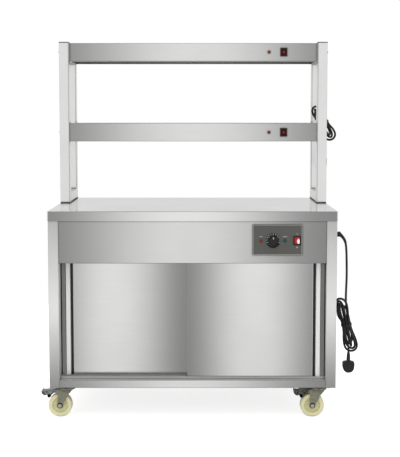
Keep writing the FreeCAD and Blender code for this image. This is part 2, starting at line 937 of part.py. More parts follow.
# Swivel casters: a fixed plate with race and kingpin, a forked leg with axle, a wheel and a brake pedal
plate_low = "(body_bottom-3)"
race_low = f"({plate_low}-6)"
crown_top = f"({race_low}-0.4)"
crown_low = f"({crown_top}-11)"
pin_low = f"({crown_low}-4.3)"
fork_inner = "(wheel_width/2+2)"
fork_outer = "(wheel_width/2+2+fork_thickness)"
plates = []
forks = []
wheels = []
pedals = []
for x, y, name in corners:
    blank = prism(
        f"{name}_plate",
        "xy",
        [
            [
                (f"{x}-plate_length/2", f"{y}-plate_depth/2"),
                (f"{x}+plate_length/2", f"{y}-plate_depth/2"),
                (f"{x}+plate_length/2", f"{y}+plate_depth/2"),
                (f"{x}-plate_length/2", f"{y}+plate_depth/2"),
            ]
        ],
        plate_low,
        "body_bottom",
    )
    round_edges(blank, "2*corner_radius", lambda edge: along(edge, "z"))
    race = turned(
        f"{name}_race",
        [
            ("0", pin_low),
            ("kingpin_radius+3", pin_low),
            ("kingpin_radius+4", f"{pin_low}+1"),
            ("kingpin_radius+4", f"{crown_low}-0.3"),
            ("kingpin_radius", f"{crown_low}-0.3"),
            ("kingpin_radius", race_low),
            ("crown_radius-2", race_low),
            ("crown_radius", f"{race_low}+2"),
            ("crown_radius-4", f"{plate_low}+0.5"),
            ("0", f"{plate_low}+0.5"),
        ],
        "z",
        (x, y, "0"),
    )
    holes = [
        rod(f"{name}_hole_{a}{b}", "z", "4.25", f"{plate_low}-5", "body_bottom+5", f"{x}{a}bolt_span_x", f"{y}{b}bolt_span_y")
        for a in "+-"
        for b in "+-"
    ]
    plates.append(cut(f"{name}_mount", joined(f"{name}_plate_race", [blank, race]), holes))

    axle_x = f"({x}-caster_trail)"
    axle_z = "wheel_radius"
    crown = turned(
        f"{name}_crown",
        [
            ("kingpin_radius+run_clearance", crown_low),
            ("crown_radius-9", crown_low),
            ("crown_radius-1", f"{crown_low}+2"),
            ("crown_radius", f"{crown_low}+5"),
            ("crown_radius", crown_top),
            ("kingpin_radius+run_clearance", crown_top),
        ],
        "z",
        (x, y, "0"),
    )
    legs = []
    for side, low, high in (
        ("near", f"{y}-{fork_outer}", f"{y}-{fork_inner}"),
        ("far", f"{y}+{fork_inner}", f"{y}+{fork_outer}"),
    ):
        legs.append(
            prism(
                f"{name}_{side}_leg",
                "xz",
                [
                    [
                        (f"{x}-30", f"{crown_low}+3"),
                        (f"{x}-46", f"{crown_low}-2"),
                        (f"{x}-47", f"{crown_low}-13"),
                        (f"{x}-38", f"{crown_low}-17"),
                        (f"{axle_x}-8", f"{axle_z}+36"),
                        (f"{axle_x}-9", f"{axle_z}+4"),
                        (f"{axle_x}", f"{axle_z}-6"),
                        (f"{axle_x}+11.5", f"{axle_z}+3.5"),
                        (f"{x}+8", f"{crown_low}-20"),
                        (f"{x}+18", f"{crown_low}-9"),
                        (f"{x}+26", f"{crown_low}+3"),
                    ]
                ],
                low,
                high,
            )
        )
        legs.append(rod(f"{name}_{side}_boss", "y", "12", low, high, axle_x, axle_z))
    pivot_x = f"({x}-40)"
    pivot_z = f"({crown_low}-8)"
    leg_holes = [
        rod(f"{name}_axle_hole", "y", "axle_radius", f"{y}-40", f"{y}+40", axle_x, axle_z),
        rod(f"{name}_pivot_hole", "y", "3+run_clearance", f"{y}-40", f"{y}+40", pivot_x, pivot_z),
    ]
    leg_frame = cut(f"{name}_legs", joined(f"{name}_leg_blank", [crown] + legs), leg_holes)
    axle = turned(
        f"{name}_axle",
        [
            ("0", f"-{fork_outer}-5"),
            ("7", f"-{fork_outer}-5"),
            ("8.5", f"-{fork_outer}-3.5"),
            ("8.5", f"-{fork_outer}"),
            ("axle_radius", f"-{fork_outer}"),
            ("axle_radius", fork_outer),
            ("8.5", fork_outer),
            ("8.5", f"{fork_outer}+5"),
            ("6.5", f"{fork_outer}+6.5"),
            ("0", f"{fork_outer}+6.5"),
        ],
        "y",
        (axle_x, y, axle_z),
    )
    forks.append(together(f"{name}_fork", [leg_frame, axle]))

    half = "wheel_width/2"
    wheels.append(
        turned(
            f"{name}_wheel",
            [
                ("axle_radius+run_clearance", f"-{half}-1.4"),
                ("14", f"-{half}-1.4"),
                ("16", f"-{half}+7"),
                ("wheel_radius-20", f"-{half}+7"),
                ("wheel_radius-16", f"-{half}+1"),
                ("wheel_radius-3", f"-{half}"),
                ("wheel_radius", f"-{half}+4"),
                ("wheel_radius", f"{half}-4"),
                ("wheel_radius-3", half),
                ("wheel_radius-16", f"{half}-1"),
                ("wheel_radius-20", f"{half}-7"),
                ("16", f"{half}-7"),
                ("14", f"{half}+1.4"),
                ("axle_radius+run_clearance", f"{half}+1.4"),
            ],
            "y",
            (axle_x, y, axle_z),
        )
    )
    if not name.startswith("front"):
        continue
    tread = prism(
        f"{name}_tread",
        "xz",
        [
            [
                (f"{x}-34", f"{pivot_z}+3.9"),
                (f"{x}-53", f"{pivot_z}+5.9"),
                (f"{x}-72", f"{pivot_z}+6.9"),
                (f"{x}-88", f"{pivot_z}+2.6"),
                (f"{x}-100", f"{pivot_z}+2.9"),
                (f"{x}-105.5", f"{pivot_z}+4.9"),
                (f"{x}-107.3", f"{pivot_z}+1.4"),
                (f"{x}-105.5", f"{pivot_z}-8.6"),
                (f"{x}-98", f"{pivot_z}-16.1"),
                (f"{x}-90", f"{pivot_z}-18.4"),
                (f"{x}-89.3", f"{pivot_z}-15.4"),
                (f"{x}-96", f"{pivot_z}-13.3"),
                (f"{x}-102.6", f"{pivot_z}-7.1"),
                (f"{x}-104", f"{pivot_z}-0.1"),
                (f"{x}-100", f"{pivot_z}-0.2"),
                (f"{x}-88", f"{pivot_z}-0.5"),
                (f"{x}-72", f"{pivot_z}+3.8"),
                (f"{x}-53", f"{pivot_z}+2.8"),
                (f"{x}-34", f"{pivot_z}+0.8"),
            ]
        ],
        f"{y}-wheel_width/2",
        f"{y}+wheel_width/2",
    )
    roller_x, roller_z = f"({x}-74.5)", f"({axle_z}+39.5)"
    pieces = [
        tread,
        rod(f"{name}_pivot", "y", "3", f"{y}-{fork_outer}", f"{y}+{fork_outer}", pivot_x, pivot_z),
        rod(f"{name}_brake_roller", "y", "7", f"{y}-15", f"{y}+15", roller_x, roller_z),
    ]
    for side, low in (("near", "-12"), ("far", "+9")):
        pieces.append(
            prism(
                f"{name}_{side}_cheek",
                "xz",
                [
                    [
                        (f"{x}-34", f"{pivot_z}-4.4"),
                        (f"{x}-34", f"{pivot_z}+3"),
                        (f"{x}-53", f"{pivot_z}+5"),
                        (f"{x}-72", f"{pivot_z}+6"),
                        (f"{x}-88", f"{pivot_z}+1.8"),
                        (f"{x}-105", f"{pivot_z}+2"),
                        (f"{x}-104", f"{pivot_z}-8"),
                        (f"{x}-97", f"{pivot_z}-14.8"),
                        (f"{x}-90", f"{pivot_z}-17"),
                        (f"{x}-84", f"{pivot_z}-17.1"),
                        (f"{x}-78.5", f"{roller_z}-4.5"),
                        (f"{x}-70.5", f"{roller_z}-4.5"),
                        (f"{x}-66", f"{pivot_z}-16.6"),
                        (f"{x}-58", f"{pivot_z}-11.1"),
                        (f"{x}-50", f"{pivot_z}-6.6"),
                    ]
                ],
                f"{y}{low}",
                f"{y}{low}+3",
            )
        )
    pedals.append(joined(f"{name}_pedal", pieces))
keep(together("caster_plates", plates))
for item in forks + wheels + pedals:
    keep(item)

# Caster bolts: hexagon heads below the plate, nuts on the pan floor
fixings = []
for i, (x, y) in enumerate(bolt_spots):
    head = doc.addObject("Part::Prism", f"caster_bolt_head_{i}")
    head.Polygon = 6
    head.Circumradius = 7
    head.Height = 5
    place(head, x, y, f"{plate_low}-5")
    nut = doc.addObject("Part::Prism", f"caster_bolt_nut_{i}")
    nut.Polygon = 6
    nut.Circumradius = 7
    nut.Height = 6
    place(nut, x, y, pan_floor)
    shank = rod(f"caster_bolt_shank_{i}", "z", "4", f"{plate_low}-1", f"{pan_floor}+8", x, y)
    fixings.append(joined(f"caster_bolt_{i}", [head, shank, nut]))
keep(together("caster_bolts", fixings))

# Gantry side frames: two square-tube uprights, a foot rail and a head rail on each side
tube_x = (tube_inner, half_width)
frame_low = "(worktop_height+gasket_height)"
frame_high = "(gantry_top-cap_height)"
rear_tube = "(gantry_front+gantry_depth-tube_size)"
gantry_back = "(gantry_front+gantry_depth)"


def ring(u, v):
    """A square-tube section between limits, with its bore."""
    w = "tube_wall"
    outer = [(u[0], v[0]), (u[1], v[0]), (u[1], v[1]), (u[0], v[1])]
    bore = [
        (f"{u[0]}+{w}", f"{v[0]}+{w}"),
        (f"{u[1]}-{w}", f"{v[0]}+{w}"),
        (f"{u[1]}-{w}", f"{v[1]}-{w}"),
        (f"{u[0]}+{w}", f"{v[1]}-{w}"),
    ]
    return [outer, bore]


def tube(label, plane, u, v, low, high):
    """A length of square tube with rounded outer edges."""
    body = prism(label, plane, ring(u, v), low, high)
    letters = {"xy": "xyz", "xz": "xzy"}[plane]
    us = [number(t) for t in u]
    vs = [number(t) for t in v]

    def outer(edge):
        if not along(edge, letters[2]):
            return False
        p = edge.Vertexes[0].Point
        a, b = getattr(p, letters[0]), getattr(p, letters[1])
        return min(abs(a - t) for t in us) < 0.01 and min(abs(b - t) for t in vs) < 0.01

    return round_edges(body, "bend_radius", outer)


frames = {}
for name, x in (("left", mirrored(tube_x)), ("right", tube_x)):
    front_y = ("gantry_front", "gantry_front+tube_size")
    rear_y = (rear_tube, gantry_back)
    between = ("gantry_front+tube_size", rear_tube)
    frames[name] = [
        tube(f"{name}_front_upright", "xy", x, front_y, frame_low, frame_high),
        tube(f"{name}_rear_upright", "xy", x, rear_y, frame_low, frame_high),
        tube(f"{name}_foot_rail", "xz", x, (frame_low, f"{frame_low}+tube_size"), *between),
        tube(f"{name}_head_rail", "xz", x, (upper_bottom, f"{upper_bottom}+tube_size"), *between),
    ]
bolt_levels = (f"({upper_middle})", f"({lower_middle})")
upright_mids = ("(gantry_front+shelf_bolt_line)", f"({rear_tube}+tube_size/2)")
for name, x in (("left", mirrored(tube_x)), ("right", tube_x)):
    drills = [
        rod(f"{name}_drill_{i}_{j}", "x", "4.25", f"{x[0]}-5", f"{x[1]}+5", y, z)
        for i, y in enumerate(upright_mids)
        for j, z in enumerate(bolt_levels)
    ]
    front_post, rear_post, foot, headrail = frames[name]
    keep(
        together(
            f"{name}_gantry_frame",
            [
                cut(f"{name}_front_post", front_post, drills[:2]),
                cut(f"{name}_rear_post", rear_post, drills[2:]),
                foot,
                headrail,
            ],
        )
    )

# End caps on the uprights and sealing strips under the frames
caps = []
strips = []
for name, x in (("left", mirrored(tube_x)), ("right", tube_x)):
    for place_name, y in (("front", "gantry_front"), ("rear", rear_tube)):
        caps.append(
            box(f"{name}_{place_name}_cap", x, (y, f"{y}+tube_size"), (frame_high, "gantry_top"))
        )
    strips.append(box(f"{name}_strip", x, ("gantry_front", gantry_back), ("worktop_height", frame_low)))
keep(together("frame_end_caps", caps))
keep(together("frame_gaskets", strips))


# Heated gantry shelves: folded channels with end plates, open below for the heater
def gantry_shelf(label, face, bottom):
    top = f"({bottom}+gantry_shelf_height-1)" if label == "upper_shelf" else f"({bottom}+gantry_shelf_height)"
    path = [
        (f"{face}+18", bottom),
        (face, bottom),
        (face, top),
        (gantry_back, top),
        (gantry_back, bottom),
        (f"{gantry_back}-18", bottom),
    ]
    body = folded(f"{label}_channel", "yz", path, -1, f"-{tube_inner}", tube_inner)
    ends = [
        box(
            f"{label}_end_{i}",
            x,
            (f"{face}+1", f"{gantry_back}-1"),
            (f"{bottom}+1", f"{top}-1"),
        )
        for i, x in enumerate(
            ((f"-{tube_inner}", f"-{tube_inner}+2"), (f"{tube_inner}-2", tube_inner))
        )
    ]
    middle = upper_middle if label == "upper_shelf" else lower_middle
    holes = [
        rod(f"{label}_lamp_hole", "y", "5", f"{face}-5", f"{face}+10", "shelf_lamp_center", middle),
        box(
            f"{label}_switch_hole",
            ("shelf_switch_center-bezel_width/2+2.3", "shelf_switch_center+bezel_width/2-2.3"),
            (f"{face}-5", f"{face}+10"),
            (f"{middle}-bezel_height/2+2.8", f"{middle}+bezel_height/2-2.8"),
        ),
    ]
    for i, y in enumerate(upright_mids):
        holes.append(
            rod(f"{label}_bolt_hole_{i}", "x", "4.25", f"-{half_width}", half_width, y, middle)
        )
    return cut(label, joined(f"{label}_body", [body] + ends), holes)


keep(gantry_shelf("upper_shelf", upper_face, upper_bottom))
keep(gantry_shelf("lower_shelf", lower_face, "lower_shelf_bottom"))

# Shelf heaters: two rods in each shelf above a wire guard
heaters = []
guards = []
for name, face, bottom in (("upper", upper_face, upper_bottom), ("lower", lower_face, "lower_shelf_bottom")):
    for i, y in enumerate(("0.36", "0.64")):
        line = f"({face}+({gantry_back}-{face})*{y})"
        heaters.append(
            rod(f"{name}_heater_{i}", "x", "5", f"-{tube_inner}+2", f"{tube_inner}-2", line, f"{bottom}+24")
        )
    wires = []
    for i in range(4):
        line = f"({face}+({gantry_back}-{face})/2+({i}-1.5)*guard_wire_pitch)"
        wires.append(
            rod(f"{name}_guard_wire_{i}", "x", "1.5", f"-{tube_inner}+2", f"{tube_inner}-2", line, f"{bottom}+8")
        )
    for i in range(5):
        wires.append(
            rod(
                f"{name}_guard_stay_{i}",
                "y",
                "1.5",
                f"{face}+steel_sheet",
                f"{gantry_back}-steel_sheet",
                f"({i}-2)*guard_stay_pitch",
                f"{bottom}+10",
            )
        )
    guards.append(joined(f"{name}_guard", wires))
keep(together("shelf_heaters", heaters))
keep(together("heater_guards", guards))

# Shelf bolts: domed heads on the outer faces of the uprights, nuts inside the shelves
shelf_fixings = []
for name, axis_flip, wall_x in (("left", False, f"-{half_width}"), ("right", True, half_width)):
    sign = "-" if name == "left" else ""
    for i, y in enumerate(upright_mids):
        for j, z in enumerate(bolt_levels):
            shelf_fixings.append(
                turned(
                    f"{name}_shelf_bolt_{i}_{j}",
                    [
                        ("0", "-6"),
                        ("4", "-5.6"),
                        ("6.5", "-4"),
                        ("7.5", "0"),
                        ("4", "0"),
                        ("4", "tube_size+2"),
                        ("7", "tube_size+2"),
                        ("7", "tube_size+8"),
                        ("4", "tube_size+8"),
                        ("4", "tube_size+11"),
                        ("0", "tube_size+11"),
                    ],
                    "x",
                    (wall_x, y, z),
                    flip=axis_flip,
                )
            )
keep(together("shelf_bolts", shelf_fixings))

# Cable glands: one with a bent spout on the right panel, one straight below the right head rail
main_exit = Vec(number(f"{skin}+lead_exit"), -number("gland_y"), number("gland_level-8"))
spout_way = Vec(1, 0, -1).normalize()
nut_body = turned(
    "main_gland_nut",
    [
        ("0", "-8"),
        ("7.8", "-8"),
        ("7.8", "0"),
        ("13", "0"),
        ("13", "4"),
        ("10.5", "5"),
        ("10.5", "26"),
        ("8.5", "30"),
        ("0", "30"),
    ],
    "x",
    (skin, "-gland_y", "gland_level"),
)
spout = doc.addObject("Part::Cylinder", "main_gland_spout")
spout.Radius = 7.5
bind(spout, Height="spout_length")
spout.Placement = Place(main_exit - spout_way * number("spout_length"), Turn(Vec(0, 0, 1), spout_way))
main_gland = joined("main_gland", [nut_body, spout])
gantry_exit_x = f"({half_width}-gantry_lead_inset)"
gantry_exit_y = "(gantry_front+gantry_depth/2-gantry_lead_offset)"
gantry_exit = Vec(number(gantry_exit_x), number(gantry_exit_y), number(f"{upper_bottom}-gantry_gland_length"))
gantry_gland = turned(
    "gantry_gland",
    [
        ("0", "0"),
        ("12", "0"),
        ("12", "4"),
        ("10", "5"),
        ("10", "gantry_gland_length-6"),
        ("7.5", "gantry_gland_length"),
        ("0", "gantry_gland_length"),
    ],
    "z",
    (gantry_exit_x, gantry_exit_y, upper_bottom),
    flip=True,
)
keep(together("cable_glands", [main_gland, gantry_gland]))

# Leads: one round cord of straight runs and tangent arcs, tied into a hank before each plug
cord_radius = number("cord_diameter") / 2


def arc_edge(start, way, end):
    """A circular arc that leaves start along way and ends at end, or a line where they agree."""
    chord = end - start
    flat = way.dot(chord) / chord.Length
    lean = way - chord * (way.dot(chord) / chord.Length**2)
    if lean.Length < 1e-6:
        return Part.LineSegment(start, end).toShape()
    half_turn = math.acos(max(-1.0, min(1.0, flat)))
    rise = lean.normalize() * (chord.Length / 2 * math.tan(half_turn / 2))
    return Part.Arc(start, (start + end) * 0.5 + rise, end).toShape()


def biarc(start, way, end, final):
    """Two arcs that join two points and meet both directions."""
    v = end - start
    both = way + final
    spread = 2 * (1 - way.dot(final))
    if spread < 1e-9:
        reach_out = v.dot(v) / (4 * v.dot(way))
    else:
        root = math.sqrt(v.dot(both) ** 2 + spread * v.dot(v))
        reach_out = (-v.dot(both) + root) / spread
    middle = (start + end + (way - final) * reach_out) * 0.5
    middle_way = (end - final * reach_out - start - way * reach_out).normalize()
    return [arc_edge(start, way, middle), arc_edge(middle, middle_way, end)]


def sweep(edges):
    """One unbroken round tube along joined edges."""
    spine = Part.Wire(edges)
    first = edges[0]
    start = first.valueAt(first.FirstParameter)
    way = first.tangentAt(first.FirstParameter)
    ring_wire = Part.Wire(Part.Circle(start, way, cord_radius).toShape())
    shell = Part.BRepOffsetAPI.MakePipeShell(spine)
    shell.add(ring_wire, False, False)
    shell.build()
    shell.makeSolid()
    return shell.shape()


def lead_edges(label, points):
    """Straight runs with tangent arcs at the corners."""
    edges = []
    at = points[0]
    for before, corner, after in zip(points, points[1:], points[2:]):
        come = (corner - before).normalize()
        go = (after - corner).normalize()
        turn = come.getAngle(go)
        shorter = min((corner - before).Length, (after - corner).Length)
        setback = 0.45 * shorter
        print(f"{label}: bend radius {setback / math.tan(turn / 2):.1f} mm, turn {math.degrees(turn):.1f} deg")
        begin = corner - come * setback
        end = corner + go * setback
        edges.append(Part.LineSegment(at, begin).toShape())
        edges.append(arc_edge(begin, come, end))
        at = end
    edges.append(Part.LineSegment(at, points[-1]).toShape())
    return edges


def hank_edges(label, center, tilt, half_length, loops, start, end):
    """Loops gathered round one axis and drawn in at the waist, each shorter and turned from the last."""
    lean = math.radians(tilt)
    right = Vec(math.cos(lean), 0, math.sin(lean))
    up = Vec(-math.sin(lean), 0, math.cos(lean))
    ahead = Vec(0, -1, 0)
    fold = number("hank_fold")
    waist = number("hank_waist")
    turn = math.pi / (loops + 1)
    first = turn / 2
    top_reach = fold / math.cos(turn / 2)

    def spot(angle, reach, v):
        return center + right * (reach * math.cos(angle)) + ahead * (reach * math.sin(angle)) + up * v

    rows = [(start, Vec(0, 0, -1)), (start - Vec(0, 0, 2 * cord_radius), Vec(0, 0, -1))]
    for k in range(loops):
        a = first + turn * k
        b = a + math.pi
        c = a + turn
        reach = half_length - number("hank_nest") * k
        crest = (spot(b, top_reach, reach) + spot(c, top_reach, reach)) * 0.5 + up * fold
        rows += [
            (spot(a, waist, 0), -up),
            (spot(a, fold, -reach), -up),
            (spot(a, 0, -reach - fold), (spot(b, 1, 0) - spot(a, 1, 0)).normalize()),
            (spot(b, fold, -reach), up),
            (spot(b, waist, 0), up),
            (spot(b, top_reach, reach), up),
            (crest, (spot(c, 1, 0) - spot(b, 1, 0)).normalize()),
            (spot(c, top_reach, reach), -up),
        ]
    last = first + turn * loops
    rows.append((spot(last, waist, 0), -up))
    rows.append((spot(last, fold, -0.7 * half_length), -up))
    rows.append((end + Vec(0, 0, 2 * cord_radius), Vec(0, 0, -1)))
    rows.append((end, Vec(0, 0, -1)))
    edges = []
    for (p, a), (q, b) in zip(rows, rows[1:]):
        if (q - p).cross(a).Length < 1e-6 and a.cross(b).Length < 1e-6:
            edges.append(Part.LineSegment(p, q).toShape())
        else:
            edges += biarc(p, a, q, b)
    spots = []
    travel = []
    total = 0.0
    for edge in edges:
        for p in edge.discretize(max(3, int(edge.Length / 4) + 2))[:-1]:
            if spots:
                total += (p - spots[-1]).Length
            spots.append(p)
            travel.append(total)
    least = min(
        (spots[i] - spots[j]).Length
        for i in range(len(spots))
        for j in range(i)
        if travel[i] - travel[j] > 6 * cord_radius
    )
    tight = min(e.Curve.Radius for e in edges if hasattr(e.Curve, "Radius"))
    length = sum(e.Length for e in edges)
    print(f"{label}: length {length:.0f} mm, least gap {least - 2 * cord_radius:.2f} mm, tightest radius {tight:.1f} mm")
    return edges, up


def cord_solid(label, edges):
    item = doc.addObject("Part::Feature", label)
    item.Shape = sweep(edges)
    length = sum(e.Length for e in edges)
    print(f"{label}: volume over section times length {item.Shape.Volume / (math.pi * cord_radius**2 * length):.4f}")
    return item


def tie(label, center, up):
    """A flat band round the waist of a hank."""
    inner = number("hank_waist") + cord_radius + 0.8
    band = doc.addObject("Part::Feature", label)
    foot = center - up * 4.5
    band.Shape = Part.makeCylinder(inner + 1.2, 9, foot, up).cut(Part.makeCylinder(inner, 9, foot, up))
    return band


main_loops = int(number("main_hank_loops"))
main_start = main_exit + Vec(21, 2, -294)
main_center = main_exit + Vec(24, 0, -380.5)
main_end = main_exit + Vec(32, -14, -499)
main_points = [
    main_exit,
    main_exit + spout_way * 20,
    main_exit + Vec(20.5, 0, -52),
    main_exit + Vec(22.5, 0, -114),
    main_exit + Vec(23.5, 1, -180),
    main_exit + Vec(21, 2, -242),
    main_start,
]
keep(cord_solid("mains_lead", lead_edges("mains_lead", main_points)))
main_edges, main_up = hank_edges(
    "mains_hank", main_center, number("main_hank_tilt"), number("main_hank_half"), main_loops, main_start, main_end
)
keep(cord_solid("mains_hank", main_edges))
gantry_loops = int(number("gantry_hank_loops"))
gantry_start = gantry_exit + Vec(6, -10, -165)
gantry_center = gantry_exit + Vec(18, 0, -254)
gantry_end = gantry_exit + Vec(15, -14, -375)
gantry_points = [
    gantry_exit,
    gantry_exit + Vec(0, 0, -50),
    gantry_exit + Vec(6, -10, -115),
    gantry_start,
]
keep(cord_solid("gantry_lead", lead_edges("gantry_lead", gantry_points)))
gantry_edges, gantry_up = hank_edges(
    "gantry_hank",
    gantry_center,
    number("gantry_hank_tilt"),
    number("gantry_hank_half"),
    gantry_loops,
    gantry_start,
    gantry_end,
)
keep(cord_solid("gantry_hank", gantry_edges))
main_tie = tie("main_tie", main_center, main_up)
gantry_tie = tie("gantry_tie", gantry_center, gantry_up)
keep(together("hank_ties", [main_tie, gantry_tie]))


# Plugs: a rounded three-pin body with a sleeve round the cord
def plug(label, top, turn):
    body = prism(
        f"{label}_shell",
        "xz",
        [
            [
                ("-11", "0"),
                ("11", "0"),
                ("plug_width/2-4", "-7"),
                ("plug_width/2", "-16"),
                ("plug_width/2", "-plug_height+20"),
                ("plug_width/2-4.5", "-plug_height+8"),
                ("plug_width/2-12", "-plug_height"),
                ("-plug_width/2+12", "-plug_height"),
                ("-plug_width/2+4.5", "-plug_height+8"),
                ("-plug_width/2", "-plug_height+20"),
                ("-plug_width/2", "-16"),
                ("-plug_width/2+4", "-7"),
            ]
        ],
        "-plug_thickness/2",
        "plug_thickness/2",
    )
    round_edges(body, "3", lambda edge: abs(abs(edge.CenterOfMass.y) - number("plug_thickness/2")) < 0.01)
    sleeve = turned(
        f"{label}_sleeve",
        [
            ("0", "-4"),
            ("8", "-4"),
            ("8", "4"),
            ("cord_diameter/2+1.6", "plug_sleeve"),
            ("0", "plug_sleeve"),
        ],
    )
    item = joined(label, [body, sleeve])
    spin = Turn(Vec(0, 0, 1), turn)
    body_top = top - Vec(0, 0, number("plug_sleeve"))
    item.Placement = Place(body_top, spin)
    pins = []
    for i, (u, low, wide, tall, long) in enumerate(
        ((0, -44, 4, 8, 22), (-11, -21, 6.4, 4, 18), (11, -21, 6.4, 4, 18))
    ):
        blade = doc.addObject("Part::Box", f"{label}_pin_{i}")
        blade.Length = wide
        blade.Height = tall
        blade.Width = long
        offset = Vec(u - wide / 2, number("plug_thickness/2"), low - tall / 2)
        blade.Placement = Place(body_top + spin.multVec(offset), spin)
        pins.append(blade)
    return item, pins


main_plug, main_pins = plug("mains_plug", main_end, 0)
keep(main_plug)
gantry_plug, gantry_pins = plug("gantry_plug", gantry_end, 90)
keep(gantry_plug)
keep(together("plug_pins", main_pins + gantry_pins))

# Every object is checked before any file is written
doc.recompute()
bad = []
for item in doc.Objects:
    if "Invalid" in item.State or "Error" in item.State:
        bad.append(f"{item.Label} {item.State}")
    shape = getattr(item, "Shape", None)
    if shape is not None and not shape.isNull() and not shape.isValid():
        bad.append(f"{item.Label} has a faulty shape")
for item in nodes:
    if item.Shape.isNull() or not item.Shape.Solids:
        bad.append(f"{item.Label} has no solid")
if bad:
    raise RuntimeError("; ".join(bad))
for item in nodes:
    item.Shape.exportStep(f"parts/{item.Label}.step")
print(f"{len(nodes)} nodes")
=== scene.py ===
import bmesh
import bpy
import math
from mathutils import Matrix, Vector


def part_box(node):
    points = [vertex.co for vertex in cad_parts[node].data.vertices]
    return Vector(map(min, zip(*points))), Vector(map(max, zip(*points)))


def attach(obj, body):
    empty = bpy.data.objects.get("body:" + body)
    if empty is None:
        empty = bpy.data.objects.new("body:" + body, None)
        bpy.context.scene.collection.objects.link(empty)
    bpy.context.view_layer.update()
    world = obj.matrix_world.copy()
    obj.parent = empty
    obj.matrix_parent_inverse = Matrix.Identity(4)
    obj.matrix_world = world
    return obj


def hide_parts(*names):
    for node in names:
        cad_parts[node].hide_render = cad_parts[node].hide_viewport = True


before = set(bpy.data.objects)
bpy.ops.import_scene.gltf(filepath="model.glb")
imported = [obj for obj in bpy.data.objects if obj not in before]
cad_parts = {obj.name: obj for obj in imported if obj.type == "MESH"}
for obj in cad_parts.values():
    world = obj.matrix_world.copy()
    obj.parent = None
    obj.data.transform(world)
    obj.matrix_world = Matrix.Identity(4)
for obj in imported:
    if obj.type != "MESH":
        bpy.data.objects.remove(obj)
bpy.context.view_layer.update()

# Casters: pressed steel plates, crowns, forks and pedals, zinc plated in a barrel and left with
# a dull olive passivation. Each plate is held under the floor pan by four bolts.
MM = 0.001


def linear(code, share=1.0):
    """An sRGB hex colour, or a share of it, as the linear values that a socket takes."""
    parts = [int(code[i : i + 2], 16) / 255 for i in (1, 3, 5)]
    light = [c / 12.92 if c <= 0.04045 else ((c + 0.055) / 1.055) ** 2.4 for c in parts]
    return tuple(c * share for c in light) + (1.0,)


def add(tree, kind, sockets=None, **settings):
    """Adds a node with its options, and sets its sockets or joins them to other nodes' outputs.

    Where a node is given for a socket, its first output in use is joined.
    """
    item = tree.nodes.new(kind)
    for name, value in settings.items():
        setattr(item, name, value)
    for name, value in (sockets or {}).items():
        if isinstance(value, bpy.types.Node):
            value = next(output for output in value.outputs if output.enabled)
        if isinstance(value, bpy.types.NodeSocket):
            tree.links.new(value, item.inputs[name])
        else:
            item.inputs[name].default_value = value
    return item


def bare_finish(name):
    """An empty material, its node tree, and where a point lies on the object."""
    material = bpy.data.materials.new(name)
    material.use_nodes = True
    tree = material.node_tree
    tree.nodes.clear()
    return material, tree, add(tree, "ShaderNodeTexCoord").outputs["Object"]


def surfaced(tree, sockets):
    """Closes a finish with its shader."""
    shader = add(tree, "ShaderNodeBsdfPrincipled", sockets)
    add(tree, "ShaderNodeOutputMaterial", {"Surface": shader})


def dress(material, *names):
    """Gives CAD nodes their finish."""
    for name in names:
        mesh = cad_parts[name].data
        mesh.materials.clear()
        mesh.materials.append(material)


def middle_of(node):
    """The middle of a CAD node's box."""
    low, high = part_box(node)
    return (low + high) / 2


def from_axle(tree, place, axle):
    """How far a point lies from an axle that runs from front to back."""
    offset = add(tree, "ShaderNodeVectorMath", {0: place, 1: axle}, operation="SUBTRACT")
    in_plane = add(tree, "ShaderNodeVectorMath", {0: offset, 1: (1.0, 0.0, 1.0)}, operation="MULTIPLY")
    return add(tree, "ShaderNodeVectorMath", {0: in_plane}, operation="LENGTH")


def painted_fold_shade(tree, tone, nook, shade_power, shade_colour):
    """Paints shade into a tone where another face is nearer than the nook is wide, more with a higher
    power.
    """
    corners = add(tree, "ShaderNodeAmbientOcclusion", {"Distance": nook}, samples=6)
    unshaded_share = add(tree, "ShaderNodeMath", {0: corners.outputs["AO"], 1: shade_power}, operation="POWER")
    return add(tree, "ShaderNodeMix", {0: unshaded_share, 6: linear(shade_colour), 7: tone}, data_type="RGBA")


def zinc_plate(name, colour, stain, rings=()):
    """Barrel-plated zinc: a soft metal shine, cloudy passivation about 9 mm across and fine pits.

    Corners near another face are darkened as painted shade. rings are parts of another tone round an
    axle: the axle's middle, their inner and outer radius, and their colour.
    """
    material, tree, place = bare_finish(name)
    cloud = add(tree, "ShaderNodeTexNoise", {"Vector": place, "Scale": 1 / (9 * MM), "Detail": 3.0})
    pits = add(tree, "ShaderNodeTexNoise", {"Vector": place, "Scale": 1 / (1.2 * MM), "Detail": 2.0})
    patch = add(tree, "ShaderNodeMapRange", {"Value": cloud, "From Min": 0.38, "From Max": 0.62})
    tone = add(tree, "ShaderNodeMix", {0: patch, 6: linear(colour), 7: linear(stain)}, data_type="RGBA")
    for axle, inner, outer, other in rings:
        reach = from_axle(tree, place, axle)
        outside = add(tree, "ShaderNodeMath", {0: reach, 1: inner}, operation="GREATER_THAN")
        inside = add(tree, "ShaderNodeMath", {0: reach, 1: outer}, operation="LESS_THAN")
        band = add(tree, "ShaderNodeMath", {0: outside, 1: inside}, operation="MULTIPLY")
        tone = add(tree, "ShaderNodeMix", {0: band, 6: tone, 7: linear(other)}, data_type="RGBA")
    # Painted shade: the tone is darkened within 22 mm of another face.
    corner_shaded = painted_fold_shade(tree, tone, 22 * MM, 1.5, "#2B2B28")
    gloss = add(
        tree,
        "ShaderNodeMapRange",
        {"Value": cloud, "From Min": 0.3, "From Max": 0.7, "To Min": 0.34, "To Max": 0.52},
    )
    dents = add(tree, "ShaderNodeBump", {"Height": pits, "Strength": 0.12, "Distance": 0.2 * MM})
    surfaced(tree, {"Base Color": corner_shaded, "Roughness": gloss, "Normal": dents, "Metallic": 1.0})
    return material


